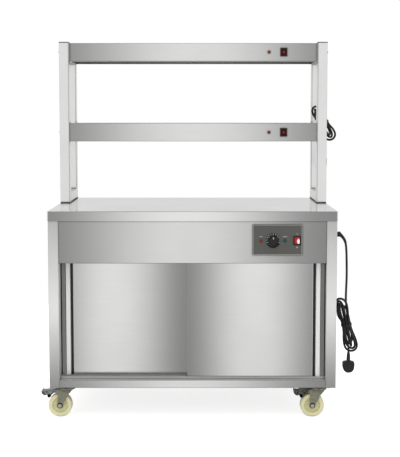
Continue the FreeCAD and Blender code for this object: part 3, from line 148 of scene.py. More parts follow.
CORNERS = ("front_left", "front_right", "rear_left", "rear_right")
NUT, WASHER, BRAKE_ROLLER = 8.5 * MM, 12.5 * MM, 7.3 * MM
BRAKE_ROLLER_OFFSET = Vector((-46.5, 0, 39.5)) * MM
# The top plates are given near-black zinc as painted shade, for the shadow under the cupboard floor.
dress(zinc_plate("plate_zinc_in_painted_shade", "#3D3E39", "#2C2D29"), "caster_plates")
dress(zinc_plate("bright_zinc_plated_steel", "#B9BDB9", "#94988F"), "caster_bolts")
for corner in CORNERS:
    axle = middle_of(f"{corner}_wheel")
    rings = [(axle, 0.0, NUT, "#DADBD2"), (axle, NUT, WASHER, "#46463D")]
    dress(zinc_plate(f"{corner}_olive_zinc", "#B9B8A6", "#A3A292", rings), f"{corner}_fork")
# The two pedals are one zinc in lit and shaded copies: painted light on the left pedal, which stands out
# from under the cupboard, and painted shade on the right one, in the shadow beneath it.
for corner, bright, dull in (("front_left", "#DCE2E3", "#7B807C"), ("front_right", "#8E928C", "#4C4F49")):
    brake_axle = middle_of(f"{corner}_wheel") + BRAKE_ROLLER_OFFSET
    rubber = (brake_axle, 0.0, BRAKE_ROLLER, "#1B1B1A")
    dress(zinc_plate(f"{corner}_pedal_zinc_painted_light", bright, dull, [rubber]), f"{corner}_pedal")

# Wheels and door rollers: moulded from cream nylon, smooth on the web and scuffed grey on the
# tread. Each wheel runs on the axle bolt between the fork legs, each roller on a door hanger.


def cream_nylon(name, wheel):
    """Moulded nylon: slightly translucent, with flow marks 14 mm long and a worn band at the rim."""
    low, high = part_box(wheel)
    rim = (high.z - low.z) / 2
    material, tree, place = bare_finish(name)
    reach = from_axle(tree, place, (low + high) / 2)
    flow = add(tree, "ShaderNodeTexNoise", {"Vector": place, "Scale": 1 / (14 * MM), "Detail": 4.0})
    scuff = add(
        tree,
        "ShaderNodeTexNoise",
        {"Vector": place, "Scale": 1 / (3 * MM), "Detail": 5.0, "Roughness": 0.7},
    )
    tread = add(
        tree,
        "ShaderNodeMapRange",
        {"Value": reach, "From Min": rim - 2.5 * MM, "From Max": rim, "To Min": 0.0, "To Max": 0.5},
    )
    worn = add(tree, "ShaderNodeMath", {0: tread, 1: scuff}, operation="MULTIPLY")
    pale, deep = linear("#EBE7C2"), linear("#E0DBAA")
    body = add(tree, "ShaderNodeMix", {0: flow, 6: pale, 7: deep}, data_type="RGBA")
    # Painted shade: the dished web inside the rim is darker, and corners near another face darker still.
    recess_shade_mask = add(
        tree,
        "ShaderNodeMapRange",
        {"Value": reach, "From Min": 0.64 * rim, "From Max": 0.7 * rim, "To Min": 0.5, "To Max": 0.0},
    )
    recess_shaded_tone = add(tree, "ShaderNodeMix", {0: recess_shade_mask, 6: body, 7: linear("#CFC98F")}, data_type="RGBA")
    shaded = painted_fold_shade(tree, recess_shaded_tone, 12 * MM, 1.0, "#A8A277")
    tone = add(tree, "ShaderNodeMix", {0: worn, 6: shaded, 7: linear("#B4B093")}, data_type="RGBA")
    dents = add(tree, "ShaderNodeBump", {"Height": scuff, "Strength": 0.15, "Distance": 0.3 * MM})
    shine = {"Roughness": 0.42, "IOR": 1.53, "Subsurface Weight": 0.12, "Subsurface Scale": 4 * MM}
    surfaced(tree, {"Base Color": tone, "Normal": dents, **shine})
    return material


for corner in CORNERS:
    dress(cream_nylon(f"{corner}_cream_nylon", f"{corner}_wheel"), f"{corner}_wheel")
for door in ("left", "right"):
    for end in ("a", "b"):
        roller = f"{door}_door_roller_{end}"
        dress(cream_nylon(f"{door}_roller_{end}_cream_nylon", roller), roller)

# Cupboard body: side panels, back, floor pan, sill, liner and inner shelf, folded from 1.2 mm
# stainless sheet that was ground on a belt, so fine lines run one way along every panel.
scene = bpy.context.scene
LINE, RUN = 2.6 * MM, 110 * MM
LAYS = {"across": ("X", (1 / RUN, 1 / LINE, 1 / LINE)), "upright": ("Z", (1 / LINE, 1 / LINE, 1 / RUN))}
BOW_LEVEL = 480 * MM


def belt_ground_steel(name, colour, lay, gloss, hollow=None, bow=0.0, nook=12 * MM, grain=0.08):
    """Stainless sheet with its grinding lines along one axis, and painted shade in its folds.

    The real lines are about 0.1 mm apart, too fine to show, so they are drawn 2.6 mm apart and
    110 mm long. hollow gives the middle of a panel along X and the radius that it is drawn in to,
    bow how far a tall fold leans off its middle height, nook how far the painted shade reaches
    from a fold, and grain how much darker the lines are.
    """
    axis, scale = LAYS[lay]
    material, tree, place = bare_finish(name)
    stretched = add(tree, "ShaderNodeMapping", {"Vector": place, "Scale": scale})
    lines = add(
        tree, "ShaderNodeTexNoise", {"Vector": stretched, "Scale": 1.0, "Detail": 3.0, "Roughness": 0.6}
    )
    smear = add(tree, "ShaderNodeTexNoise", {"Vector": place, "Scale": 1 / (160 * MM), "Detail": 2.0})
    rough = add(
        tree,
        "ShaderNodeMapRange",
        {"Value": smear, "From Min": 0.2, "From Max": 0.8, "To Min": gloss - 0.02, "To Max": gloss + 0.03},
    )
    shade = linear(colour, 1 - grain)
    tone = add(tree, "ShaderNodeMix", {0: lines, 6: linear(colour), 7: shade}, data_type="RGBA")
    # Painted shade: the tone is darkened where another face lies nearer than the nook.
    fold_shaded = painted_fold_shade(tree, tone, nook, 1.8, "#565655")
    axes = add(tree, "ShaderNodeSeparateXYZ", {0: place})
    whole = {"Strength": 1.0, "Distance": 1.0}
    under = {}
    if hollow:
        middle, radius = hollow
        aside = add(tree, "ShaderNodeMath", {0: axes.outputs["X"], 1: middle}, operation="SUBTRACT")
        square = add(tree, "ShaderNodeMath", {0: aside, 1: 2.0}, operation="POWER")
        rise = add(tree, "ShaderNodeMath", {0: square, 1: 1 / (2 * radius)}, operation="MULTIPLY")
        under = {"Normal": add(tree, "ShaderNodeBump", {"Height": rise, **whole})}
    if bow:
        above = add(tree, "ShaderNodeMath", {0: axes.outputs["Z"], 1: BOW_LEVEL}, operation="SUBTRACT")
        away = add(tree, "ShaderNodeMath", {0: above}, operation="ABSOLUTE")
        square = add(tree, "ShaderNodeMath", {0: above, 1: away}, operation="MULTIPLY")
        lean = add(tree, "ShaderNodeMath", {0: square, 1: bow / 2}, operation="MULTIPLY")
        under = {"Normal": add(tree, "ShaderNodeBump", {"Height": lean, **whole, **under})}
    fine = {"Strength": 0.05, "Distance": 0.05 * MM}
    ridges = add(tree, "ShaderNodeBump", {"Height": lines, **fine, **under})
    turn = add(tree, "ShaderNodeTangent", direction_type="RADIAL", axis=axis)
    drawn = {"Normal": ridges, "Tangent": turn, "Metallic": 1.0, "Anisotropic": 0.85}
    surfaced(tree, {"Base Color": fold_shaded, "Roughness": rough, **drawn})
    return material


upright_steel = belt_ground_steel(
    "belt_ground_stainless_upright", "#F9F9F8", "upright", 0.305, (0.0, -2.0), 0.56, grain=0.04
)
across_steel = belt_ground_steel("belt_ground_stainless_across", "#EAEAE9", "across", 0.16)
dress(upright_steel, "left_side_panel", "right_side_panel", "back_panel")
dress(belt_ground_steel("belt_ground_stainless_apron", "#DFDFDE", "across", 0.16), "front_apron")
dress(across_steel, "front_sill", "base_pan", "cavity_liner")
dress(across_steel, "element_guard", "inner_shelf", "shelf_runners")


def skinned(shape, rings, smooth=False):
    """Joins rings of points by faces into a shell and closes both of its ends."""
    loops = [[shape.verts.new(spot) for spot in ring] for ring in rings]
    count = len(loops[0])
    for one, two in zip(loops, loops[1:]):
        for i in range(count):
            j = (i + 1) % count
            shape.faces.new((one[i], one[j], two[j], two[i])).smooth = smooth
    shape.faces.new(loops[0])
    shape.faces.new(loops[-1])


def object_of(shape, label, material):
    """Keeps a finished shape as an object with its faces outwards."""
    bmesh.ops.recalc_face_normals(shape, faces=shape.faces)
    mesh = bpy.data.meshes.new(label)
    shape.to_mesh(mesh)
    shape.free()
    mesh.materials.append(material)
    piece = bpy.data.objects.new(label, mesh)
    scene.collection.objects.link(piece)
    return piece


def jamb_strip(label, side):
    """A folded strip that closes the gap between a stile's return and the liner beside the doors."""
    sheet, flange, play = 1 * MM, 9 * MM, 0.1 * MM
    stile_return, liner_lap, foot_gap, head_gap = 12.2 * MM, 11 * MM, 1 * MM, 2 * MM
    sill_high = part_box("front_sill")[1]
    inner = sill_high.x + play
    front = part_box(f"{label}_side_panel")[0].y + stile_return
    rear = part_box("cavity_liner")[0].y + liner_lap
    foot = sill_high.z + foot_gap
    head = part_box("door_track")[0].z - head_gap
    corners = [(inner, front), (inner, rear), (inner + flange, rear)]
    corners += [(inner + flange, rear - sheet), (inner + sheet, rear - sheet), (inner + sheet, front)]
    shape = bmesh.new()
    skinned(shape, [[(side * x, y, level) for x, y in corners] for level in (foot, head)])
    piece = object_of(shape, f"{label}_jamb_strip", upright_steel)
    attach(piece, "cabinet")


SIDES = (("left", -1), ("right", 1))
for label, side in SIDES:
    jamb_strip(label, side)

# Back rivets: blind rivets in a row down each rear return, which hold the back sheet to the sides.
# Each has a low coned head with the broken end of its stem in the middle.


def pattern(name, **sizes):
    """An empty node tree whose inputs are the sizes of a repeated detail, each with its kind."""
    tree = bpy.data.node_groups.new(name, "GeometryNodeTree")
    for label, kind in sizes.items():
        tree.interface.new_socket(name=label, in_out="INPUT", socket_type=f"NodeSocket{kind}")
    tree.interface.new_socket(name="Pieces", in_out="OUTPUT", socket_type="NodeSocketGeometry")
    return tree, add(tree, "NodeGroupInput").outputs


def row_upwards(tree, sizes, index):
    """Points that rise from the foot, a pitch apart."""
    points = add(tree, "GeometryNodePoints", {"Count": sizes["Count"]})
    rise = add(tree, "ShaderNodeMath", {0: index, 1: sizes["Pitch"]}, operation="MULTIPLY")
    up = add(tree, "ShaderNodeCombineXYZ", {"Z": rise})
    place = add(tree, "ShaderNodeVectorMath", {0: up, 1: sizes["Foot"]}, operation="ADD")
    return add(tree, "GeometryNodeSetPosition", {"Geometry": points, "Position": place})


def made_real(tree, copies, material):
    """Ends a pattern: its copies become one mesh of one finish."""
    real = add(tree, "GeometryNodeRealizeInstances", {0: copies})
    finish = add(tree, "GeometryNodeSetMaterial", {"Geometry": real, "Material": material})
    add(tree, "NodeGroupOutput", {0: finish})


def plain_mesh(piece):
    """What a piece's curve, text or modifiers come to, as a plain mesh."""
    return bpy.data.meshes.new_from_object(piece.evaluated_get(bpy.context.evaluated_depsgraph_get()))


def laid_out(tree, label, body, **sizes):
    """Runs a pattern with its sizes and keeps what it makes as one plain mesh on a body."""
    piece = bpy.data.objects.new(label, bpy.data.meshes.new(label))
    scene.collection.objects.link(piece)
    run = piece.modifiers.new("pattern", "NODES")
    run.node_group = tree
    for item in tree.interface.items_tree:
        if item.in_out == "INPUT":
            run[item.identifier] = sizes[item.name]
    made = plain_mesh(piece)
    piece.modifiers.clear()
    piece.data = made
    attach(piece, body)
    return piece


rivet_tree, rivet = pattern(
    "back_rivet_row",
    Count="Int",
    Pitch="Float",
    Radius="Float",
    Height="Float",
    Stem="Float",
    Foot="Vector",
)
rivet_spots = row_upwards(rivet_tree, rivet, add(rivet_tree, "GeometryNodeInputIndex"))
rivet_crown = add(rivet_tree, "ShaderNodeMath", {0: rivet["Radius"], 1: 0.62}, operation="MULTIPLY")
rivet_head = add(
    rivet_tree,
    "GeometryNodeMeshCone",
    {"Vertices": 20, "Radius Top": rivet_crown, "Radius Bottom": rivet["Radius"], "Depth": rivet["Height"]},
)
rivet_stem = add(
    rivet_tree,
    "GeometryNodeMeshCylinder",
    {"Vertices": 12, "Radius": rivet["Stem"], "Depth": rivet["Stem"]},
)
rivet_raised = add(rivet_tree, "ShaderNodeCombineXYZ", {"Z": rivet["Height"]})
rivet_stub = add(rivet_tree, "GeometryNodeTransform", {"Geometry": rivet_stem, "Translation": rivet_raised})
rivet_shape = add(rivet_tree, "GeometryNodeJoinGeometry", {0: rivet_head})
rivet_tree.links.new(rivet_stub.outputs[0], rivet_shape.inputs[0])
rivet_set = add(
    rivet_tree,
    "GeometryNodeInstanceOnPoints",
    {"Points": rivet_spots, "Instance": rivet_shape, "Rotation": (-math.pi / 2, 0.0, 0.0)},
)
made_real(rivet_tree, rivet_set, zinc_plate("rivet_grey_zinc", "#C4C6C4", "#9FA19E"))
RIVET_ROW, RIVET_RISE = 576 * MM, 38 * MM
for label, side in SIDES:
    panel_low, panel_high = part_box(f"{label}_side_panel")
    rivets = laid_out(
        rivet_tree,
        f"{label}_back_rivets",
        "cabinet",
        Count=6,
        Pitch=128 * MM,
        Radius=3.6 * MM,
        Height=1.1 * MM,
        Stem=1.1 * MM,
        Foot=Vector((side * RIVET_ROW, panel_high.y, panel_low.z + RIVET_RISE)),
    )

# Door tracks and heating element: drawn aluminium channel and strip, as they leave the die, and
# a steel-sheathed rod heater that has darkened with use, clipped on the floor bars.


def drawn_metal(name, colour, dark, rough, streak):
    """Metal with faint die lines along X; streak is their spacing in metres."""
    material, tree, place = bare_finish(name)
    scale = (1 / (60 * streak), 1 / streak, 1 / streak)
    stretched = add(tree, "ShaderNodeMapping", {"Vector": place, "Scale": scale})
    lines = add(tree, "ShaderNodeTexNoise", {"Vector": stretched, "Scale": 1.0, "Detail": 2.0})
    tone = add(tree, "ShaderNodeMix", {0: lines, 6: linear(colour), 7: linear(dark)}, data_type="RGBA")
    gloss = add(
        tree,
        "ShaderNodeMapRange",
        {"Value": lines, "From Min": 0.3, "From Max": 0.7, "To Min": rough - 0.06, "To Max": rough + 0.06},
    )
    surfaced(tree, {"Base Color": tone, "Roughness": gloss, "Metallic": 1.0})
    return material


mill_aluminium = drawn_metal("mill_finish_aluminium", "#E4E4E3", "#D6D6D5", 0.46, 1.5 * MM)
dark_sheath = drawn_metal("heat_darkened_sheath", "#6B645C", "#4D4640", 0.5, 4 * MM)
dress(mill_aluminium, "bottom_track", "door_track")
dress(dark_sheath, "heating_element", "shelf_heaters")
dress(drawn_metal("bright_drawn_wire", "#CDCDCC", "#BDBDBC", 0.2, 2 * MM), "heater_guards")

# Sliding doors: hollow leaves of the same ground sheet. The thin skins are drawn in a little
# between their folds, so each leaf shows its own bright band.
PULL_SLOT, PULL_LIP, PULL_RIM = 504.4 * MM, 516.8 * MM, 536.2 * MM
PULL_DEPTH, PULL_ROUGHNESS, LIP_HIGHLIGHT_METAL, MEETING_EDGE = 17 * MM, 0.5, 0.25, 2.2 * MM


def where(tree, place, axis, test, limit):
    """A mask that is 1 where a place or a direction passes a test against a limit on one axis."""
    axes = add(tree, "ShaderNodeSeparateXYZ", {0: place})
    return add(tree, "ShaderNodeMath", {0: axes.outputs[axis], 1: limit}, operation=test)


def overlay(tree, mask, colour):
    """Lays another tone over a finish where the mask is 1."""
    shine = tree.nodes["Principled BSDF"]
    under = shine.inputs["Base Color"].links[0].from_socket
    over = add(tree, "ShaderNodeMix", {0: mask, 6: under, 7: linear(colour)}, data_type="RGBA")
    tree.links.new(over.outputs[2], shine.inputs["Base Color"])


def finger_pull(tree, side, face, inner):
    """Tones a leaf's pull: painted shade in the slot, a painted highlight on the rolled lip, a dull grey
    rim.

    The fold at the other edge, where the leaves meet, gets a grey strip of painted shade.
    """
    shine = tree.nodes["Principled BSDF"]
    ground = shine.inputs["Roughness"].links[0].from_socket
    place = add(tree, "ShaderNodeTexCoord").outputs["Object"]
    axes = add(tree, "ShaderNodeSeparateXYZ", {0: place})
    outward = add(tree, "ShaderNodeMath", {0: axes.outputs["X"], 1: side}, operation="MULTIPLY")
    front = where(tree, place, "Y", "LESS_THAN", face + PULL_DEPTH)
    pull = []
    # Painted shade in the slot, a painted highlight on the lip, and a grey rim.
    for start, tint in ((PULL_SLOT, "#565654"), (PULL_LIP, "#FBFBFA"), (PULL_RIM, "#B4B4B3")):
        beyond = add(tree, "ShaderNodeMath", {0: outward, 1: start}, operation="GREATER_THAN")
        pull.append(add(tree, "ShaderNodeMath", {0: beyond, 1: front}, operation="MULTIPLY"))
        overlay(tree, pull[-1], tint)
    dulled = add(tree, "ShaderNodeMix", {0: pull[0], 2: ground, 3: PULL_ROUGHNESS}, data_type="FLOAT")
    lip_middle, lip_half = (PULL_LIP + PULL_RIM) / 2, (PULL_RIM - PULL_LIP) / 2
    lip = add(tree, "ShaderNodeMath", {0: outward, 1: lip_middle, 2: lip_half}, operation="COMPARE")
    # The lip is made less metallic, so that its near-white paint shows as a painted highlight.
    bare = add(tree, "ShaderNodeMapRange", {"Value": lip, "To Min": 1.0, "To Max": LIP_HIGHLIGHT_METAL})
    # Painted shade: a grey strip along the fold where the leaves meet.
    meeting_edge_shade = add(tree, "ShaderNodeMath", {0: outward, 1: inner + MEETING_EDGE}, operation="LESS_THAN")
    overlay(tree, meeting_edge_shade, "#9B9B9A")
    tree.links.new(dulled.outputs[0], shine.inputs["Roughness"])
    tree.links.new(bare.outputs[0], shine.inputs["Metallic"])


for door, side, middle, radius in (("left_door", -1, -0.228, 2.4), ("right_door", 1, 0.165, 2.36)):
    leaf_steel = belt_ground_steel(
        f"{door}_ground_stainless", "#E5E5E4", "across", 0.14, (middle, radius), nook=4 * MM
    )
    leaf_low, leaf_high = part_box(door)
    finger_pull(leaf_steel.node_tree, side, leaf_low.y, leaf_low.x if side > 0 else -leaf_high.x)
    dress(leaf_steel, door)

# Control panel: a dark anodised plate, with a painted highlight round its rim, seated on the apron.
# Black bezels and the thermostat case are moulded, and the marks are screen printed in off-white.


def moulded_black(name, colour, rough, grain):
    """Moulded plastic: near-black, with a fine spark-eroded grain and faint flow shine."""
    material, tree, place = bare_finish(name)
    speck = add(tree, "ShaderNodeTexNoise", {"Vector": place, "Scale": 1 / grain, "Detail": 2.0})
    flow = add(tree, "ShaderNodeTexNoise", {"Vector": place, "Scale": 1 / (18 * MM), "Detail": 2.0})
    pale = tuple(c + 0.004 for c in linear(colour, 1.5)[:3]) + (1.0,)
    tone = add(tree, "ShaderNodeMix", {0: flow, 6: linear(colour), 7: pale}, data_type="RGBA")
    gloss = add(
        tree,
        "ShaderNodeMapRange",
        {"Value": flow, "From Min": 0.3, "From Max": 0.7, "To Min": rough - 0.05, "To Max": rough + 0.07},
    )
    dents = add(tree, "ShaderNodeBump", {"Height": speck, "Strength": 0.2, "Distance": 0.1 * MM})
    surfaced(tree, {"Base Color": tone, "Roughness": gloss, "Normal": dents, "IOR": 1.5})
    return material


def anodised_panel(name, low, high):
    """Dark anodised aluminium: a satin grey sheet, a painted highlight on its bevelled rim, a dark edge
    line.
    """
    material, tree, place = bare_finish(name)
    centred = add(tree, "ShaderNodeVectorMath", {0: place, 1: (low + high) / 2}, operation="SUBTRACT")
    folded = add(tree, "ShaderNodeVectorMath", {0: centred}, operation="ABSOLUTE")
    inward = add(tree, "ShaderNodeVectorMath", {0: (high - low) / 2, 1: folded}, operation="SUBTRACT")
    sides = add(tree, "ShaderNodeSeparateXYZ", {0: inward})
    nearest = add(
        tree, "ShaderNodeMath", {0: sides.outputs["X"], 1: sides.outputs["Z"]}, operation="MINIMUM"
    )
    scale = (1 / (70 * MM), 1 / (1 * MM), 1 / (1.5 * MM))
    lines = add(tree, "ShaderNodeMapping", {"Vector": place, "Scale": scale})
    grain = add(tree, "ShaderNodeTexNoise", {"Vector": lines, "Scale": 1.0, "Detail": 3.0})
    satin, streak = linear("#656562"), linear("#5B5B57")
    tone = add(tree, "ShaderNodeMix", {0: grain, 6: satin, 7: streak}, data_type="RGBA")
    # A pale band on the rim's bevel as painted highlight, and a dark line at the very edge.
    for inner, outer, tint in ((4.4 * MM, 3.6 * MM, "#A2A29E"), (1.6 * MM, 0.8 * MM, "#4E4E4B")):
        edge = add(
            tree,
            "ShaderNodeMapRange",
            {"Value": nearest, "From Min": outer, "From Max": inner, "To Min": 1.0, "To Max": 0.0},
        )
        tone = add(tree, "ShaderNodeMix", {0: edge, 6: tone, 7: linear(tint)}, data_type="RGBA")
    gloss = add(
        tree,
        "ShaderNodeMapRange",
        {"Value": grain, "From Min": 0.3, "From Max": 0.7, "To Min": 0.42, "To Max": 0.54},
    )
    surfaced(tree, {"Base Color": tone, "Roughness": gloss, "Metallic": 0.35})
    return material


dress(anodised_panel("dark_anodised_panel", *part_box("control_plate")), "control_plate")
black_case = moulded_black("moulded_black_polyamide", "#111110", 0.46, 0.8 * MM)
dress(black_case, "switch_housings", "thermostat_body", "frame_end_caps", "cable_glands", "hank_ties")
dress(moulded_black("black_sealing_rubber", "#171717", 0.62, 1.2 * MM), "frame_gaskets")


def white_paint(name, colour):
    """Screen ink: off-white, matt and slightly uneven where the mesh of the screen left it thin."""
    material, tree, place = bare_finish(name)
    thin = add(tree, "ShaderNodeTexNoise", {"Vector": place, "Scale": 1 / (0.9 * MM), "Detail": 2.0})
    worn = linear(colour, 0.82)
    tone = add(tree, "ShaderNodeMix", {0: thin, 6: linear(colour), 7: worn}, data_type="RGBA")
    surfaced(tree, {"Base Color": tone, "Roughness": 0.6})
    return material


def ring_mark(x, z, across, line, turns=32):
    """Faces of a printed ring, as points in the plane of the panel."""
    rims = []
    for radius in (across / 2, across / 2 - line):
        angles = [i * math.tau / turns for i in range(turns)]
        rims.append([(x + radius * math.cos(angle), z + radius * math.sin(angle)) for angle in angles])
    outer, inner = rims
    return [(outer[i - 1], outer[i], inner[i], inner[i - 1]) for i in range(turns)]


def bar_mark(x, z, wide, tall):
    """The face of a printed bar with round ends, as points in the plane of the panel."""
    end = min(wide, tall) / 2
    corners = []
    for u, v, start in ((1, 1, 0), (-1, 1, 90), (-1, -1, 180), (1, -1, 270)):
        for step in range(5):
            angle = math.radians(start + 22.5 * step)
            across = u * (wide / 2 - end) + end * math.cos(angle)
            corners.append((x + across, z + v * (tall / 2 - end) + end * math.sin(angle)))
    return [corners]


panel_ink = white_paint("off_white_screen_ink", "#CFCFCA")
INK_FILM, CAPTION_LINE, PLATE_RIM = 0.12 * MM, 1.8 * MM, 0.8 * MM
CAPTION_RISE, SWITCH_MARK_RISE, LAMP_PITCH = 16.5 * MM, 28 * MM, 100 * MM
ink_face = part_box("control_plate")[0].y + PLATE_RIM
lamp = middle_of("green_lamp")
switch_x = middle_of("main_rocker").x
marks = bar_mark(lamp.x - LAMP_PITCH, lamp.z + CAPTION_RISE, 13 * MM, CAPTION_LINE)
marks += bar_mark(lamp.x, lamp.z + CAPTION_RISE, 17 * MM, CAPTION_LINE)
marks += bar_mark(switch_x, lamp.z + SWITCH_MARK_RISE, 1.5 * MM, 6 * MM)
marks += ring_mark(switch_x, lamp.z - SWITCH_MARK_RISE, 6 * MM, 1.2 * MM)
ink_shape = bmesh.new()
for mark in marks:
    ink_shape.faces.new([ink_shape.verts.new((x, ink_face, z)) for x, z in mark])
bmesh.ops.remove_doubles(ink_shape, verts=ink_shape.verts, dist=1e-6)
plate_marks = object_of(ink_shape, "control_plate_marks", panel_ink)
film = plate_marks.modifiers.new("ink_film", "SOLIDIFY")
film.thickness = INK_FILM
film.offset = 0
printed = plain_mesh(plate_marks)
plate_marks.modifiers.clear()
plate_marks.data = printed
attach(plate_marks, "cabinet")

# Thermostat dial: a black phenolic knob with a sloping skirt. Ticks and plain numbers stand on the
# skirt in white, and the raised pointer is filled with the same paint. It turns on the spindle.
DIAL_START, DIAL_SWEEP, DIAL_TICKS = math.radians(-105), math.radians(210), 11
DIAL_NUMBERS = ("30", "50", "70", "90", "110")
NUMBER_RADIUS, NUMBER_DEPTH, NUMBER_SIZE = 22.4 * MM, 13.3 * MM, 3.4 * MM
TICK_DEPTH, SKIRT_SLOPE = 14.5 * MM, math.atan2(-2, 5)
dial_ink = white_paint("white_dial_ink", "#BDBCB6")
knob_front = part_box("thermostat_knob")[0].y
knob_middle = middle_of("thermostat_knob")
tick_tree, tick = pattern(
    "dial_ticks",
    Count="Int",
    Start="Float",
    Step="Float",
    Radius="Float",
    Slope="Float",
    Bar="Vector",
    Centre="Vector",
)
tick_points = add(tick_tree, "GeometryNodePoints", {"Count": tick["Count"]})
tick_index = add(tick_tree, "GeometryNodeInputIndex")
tick_angle = {0: tick_index, 1: tick["Step"], 2: tick["Start"]}
tick_turn = add(tick_tree, "ShaderNodeMath", tick_angle, operation="MULTIPLY_ADD")
tick_sine = add(tick_tree, "ShaderNodeMath", {0: tick_turn}, operation="SINE")
tick_cosine = add(tick_tree, "ShaderNodeMath", {0: tick_turn}, operation="COSINE")
tick_ray = add(tick_tree, "ShaderNodeCombineXYZ", {"X": tick_sine, "Z": tick_cosine})
tick_spoke = {0: tick_ray, "Scale": tick["Radius"]}
tick_reach = add(tick_tree, "ShaderNodeVectorMath", tick_spoke, operation="SCALE")
tick_place = add(tick_tree, "ShaderNodeVectorMath", {0: tick_reach, 1: tick["Centre"]}, operation="ADD")
tick_spots = add(tick_tree, "GeometryNodeSetPosition", {"Geometry": tick_points, "Position": tick_place})
tick_bar = add(tick_tree, "GeometryNodeMeshCube", {"Size": tick["Bar"]})
tick_lean = add(tick_tree, "ShaderNodeCombineXYZ", {"X": tick["Slope"], "Y": tick_turn})
tick_spin = add(tick_tree, "FunctionNodeEulerToRotation", {0: tick_lean})
tick_set = add(
    tick_tree,
    "GeometryNodeInstanceOnPoints",
    {"Points": tick_spots, "Instance": tick_bar, "Rotation": tick_spin},
)
made_real(tick_tree, tick_set, dial_ink)
laid_out(
    tick_tree,
    "dial_ticks",
    "dial",
    Count=DIAL_TICKS,
    Start=DIAL_START,
    Step=DIAL_SWEEP / (DIAL_TICKS - 1),
    Radius=27.4 * MM,
    Slope=SKIRT_SLOPE,
    Bar=(1.9 * MM, 0.4 * MM, 4.8 * MM),
    Centre=(knob_middle.x, knob_front + TICK_DEPTH, knob_middle.z),
)

number_shape = bmesh.new()
for place, number in enumerate(DIAL_NUMBERS):
    angle = DIAL_START + DIAL_SWEEP * place / (len(DIAL_NUMBERS) - 1)
    digits = bpy.data.curves.new("dial_number", "FONT")
    digits.body = number
    digits.align_x = "CENTER"
    digits.align_y = "CENTER"
    digits.size = NUMBER_SIZE
    digits.extrude = 0.1 * MM
    holder = bpy.data.objects.new("dial_number", digits)
    scene.collection.objects.link(holder)
    flat = plain_mesh(holder)
    across, rise = NUMBER_RADIUS * math.sin(angle), NUMBER_RADIUS * math.cos(angle)
    spot = Vector((knob_middle.x + across, knob_front + NUMBER_DEPTH, knob_middle.z + rise))
    flat.transform(Matrix.Translation(spot) @ Matrix.Rotation(math.radians(90), 4, "X"))
    number_shape.from_mesh(flat)
    bpy.data.objects.remove(holder)
    bpy.data.curves.remove(digits)
    bpy.data.meshes.remove(flat)
dial_numbers = bpy.data.objects.new("dial_numbers", bpy.data.meshes.new("dial_numbers"))
number_shape.to_mesh(dial_numbers.data)
number_shape.free()
dial_numbers.data.materials.append(dial_ink)
scene.collection.objects.link(dial_numbers)
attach(dial_numbers, "dial")

POINTER_DEPTH, POINTER_START = 0.4 * MM, 8 * MM
knob_finish = moulded_black("moulded_black_phenolic", "#0C0C0B", 0.12, 1.5 * MM)
knob_tree = knob_finish.node_tree
knob_place = add(knob_tree, "ShaderNodeTexCoord").outputs["Object"]
knob_raised = where(knob_tree, knob_place, "Y", "LESS_THAN", knob_front + POINTER_DEPTH)
knob_outer = where(knob_tree, knob_place, "Z", "GREATER_THAN", knob_middle.z + POINTER_START)
knob_pointer = add(knob_tree, "ShaderNodeMath", {0: knob_raised, 1: knob_outer}, operation="MULTIPLY")
overlay(knob_tree, knob_pointer, "#A9A8A2")
dress(knob_finish, "thermostat_knob")

# Signal lamps and rocker switches: snap-in lamps with ribbed amber and green lenses, and rockers
# in red acetate. The supply rocker is lit by a small neon behind its right half.


def lens_plastic(name, colour, deep, rib, rough, sheen=0.5, glow=0.0):
    """Clear-tinted plastic: a glossy skin over facets that darken the tint between them."""
    material, tree, place = bare_finish(name)
    facets = add(tree, "ShaderNodeTexVoronoi", {"Vector": place, "Scale": 1 / rib})
    tone = add(tree, "ShaderNodeMix", {0: facets, 6: linear(colour), 7: linear(deep)}, data_type="RGBA")
    dents = add(tree, "ShaderNodeBump", {"Height": facets, "Strength": 0.35, "Distance": 0.4 * MM})
    shine = {"Roughness": rough, "IOR": 1.49, "Specular IOR Level": sheen, "Emission Strength": glow}
    surfaced(tree, {"Base Color": tone, "Normal": dents, "Emission Color": tone, **shine})
    return material


dress(lens_plastic("amber_lens_plastic", "#8A3410", "#5A220A", 1.6 * MM, 0.2, 0.5, 0.05), "amber_lamps")
dress(lens_plastic("green_lens_plastic", "#14574D", "#0C342E", 1.6 * MM, 0.2), "green_lamp")


def neon_behind(material, rocker, aside, reach, glow, low, high):
    """Shows a small neon through a rocker.

    aside is where it lies off the rocker's middle and reach how far it shows, both in millimetres,
    and low and high are the glow's strength away from it and over it.
    """
    tree = material.node_tree
    shine = tree.nodes["Principled BSDF"]
    tint = shine.inputs["Emission Color"].links[0].from_socket
    middle = middle_of(rocker) + Vector(aside) * MM
    middle.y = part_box(rocker)[0].y
    place = add(tree, "ShaderNodeTexCoord").outputs["Object"]
    offset = add(tree, "ShaderNodeVectorMath", {0: place, 1: middle}, operation="SUBTRACT")
    wide = add(tree, "ShaderNodeVectorMath", {0: offset, 1: (1.0, 0.3, 0.6)}, operation="MULTIPLY")
    away = add(tree, "ShaderNodeVectorMath", {0: wide}, operation="LENGTH")
    near, far = reach[0] * MM, reach[1] * MM
    core = add(
        tree,
        "ShaderNodeMapRange",
        {"Value": away, "From Min": near, "From Max": far, "To Min": 1.0, "To Max": 0.0},
    )
    tone = add(tree, "ShaderNodeMix", {0: core, 6: tint, 7: glow}, data_type="RGBA")
    level = add(tree, "ShaderNodeMapRange", {"Value": core, "To Min": low, "To Max": high})
    tree.links.new(tone.outputs[2], shine.inputs["Emission Color"])
    tree.links.new(level.outputs[0], shine.inputs["Emission Strength"])


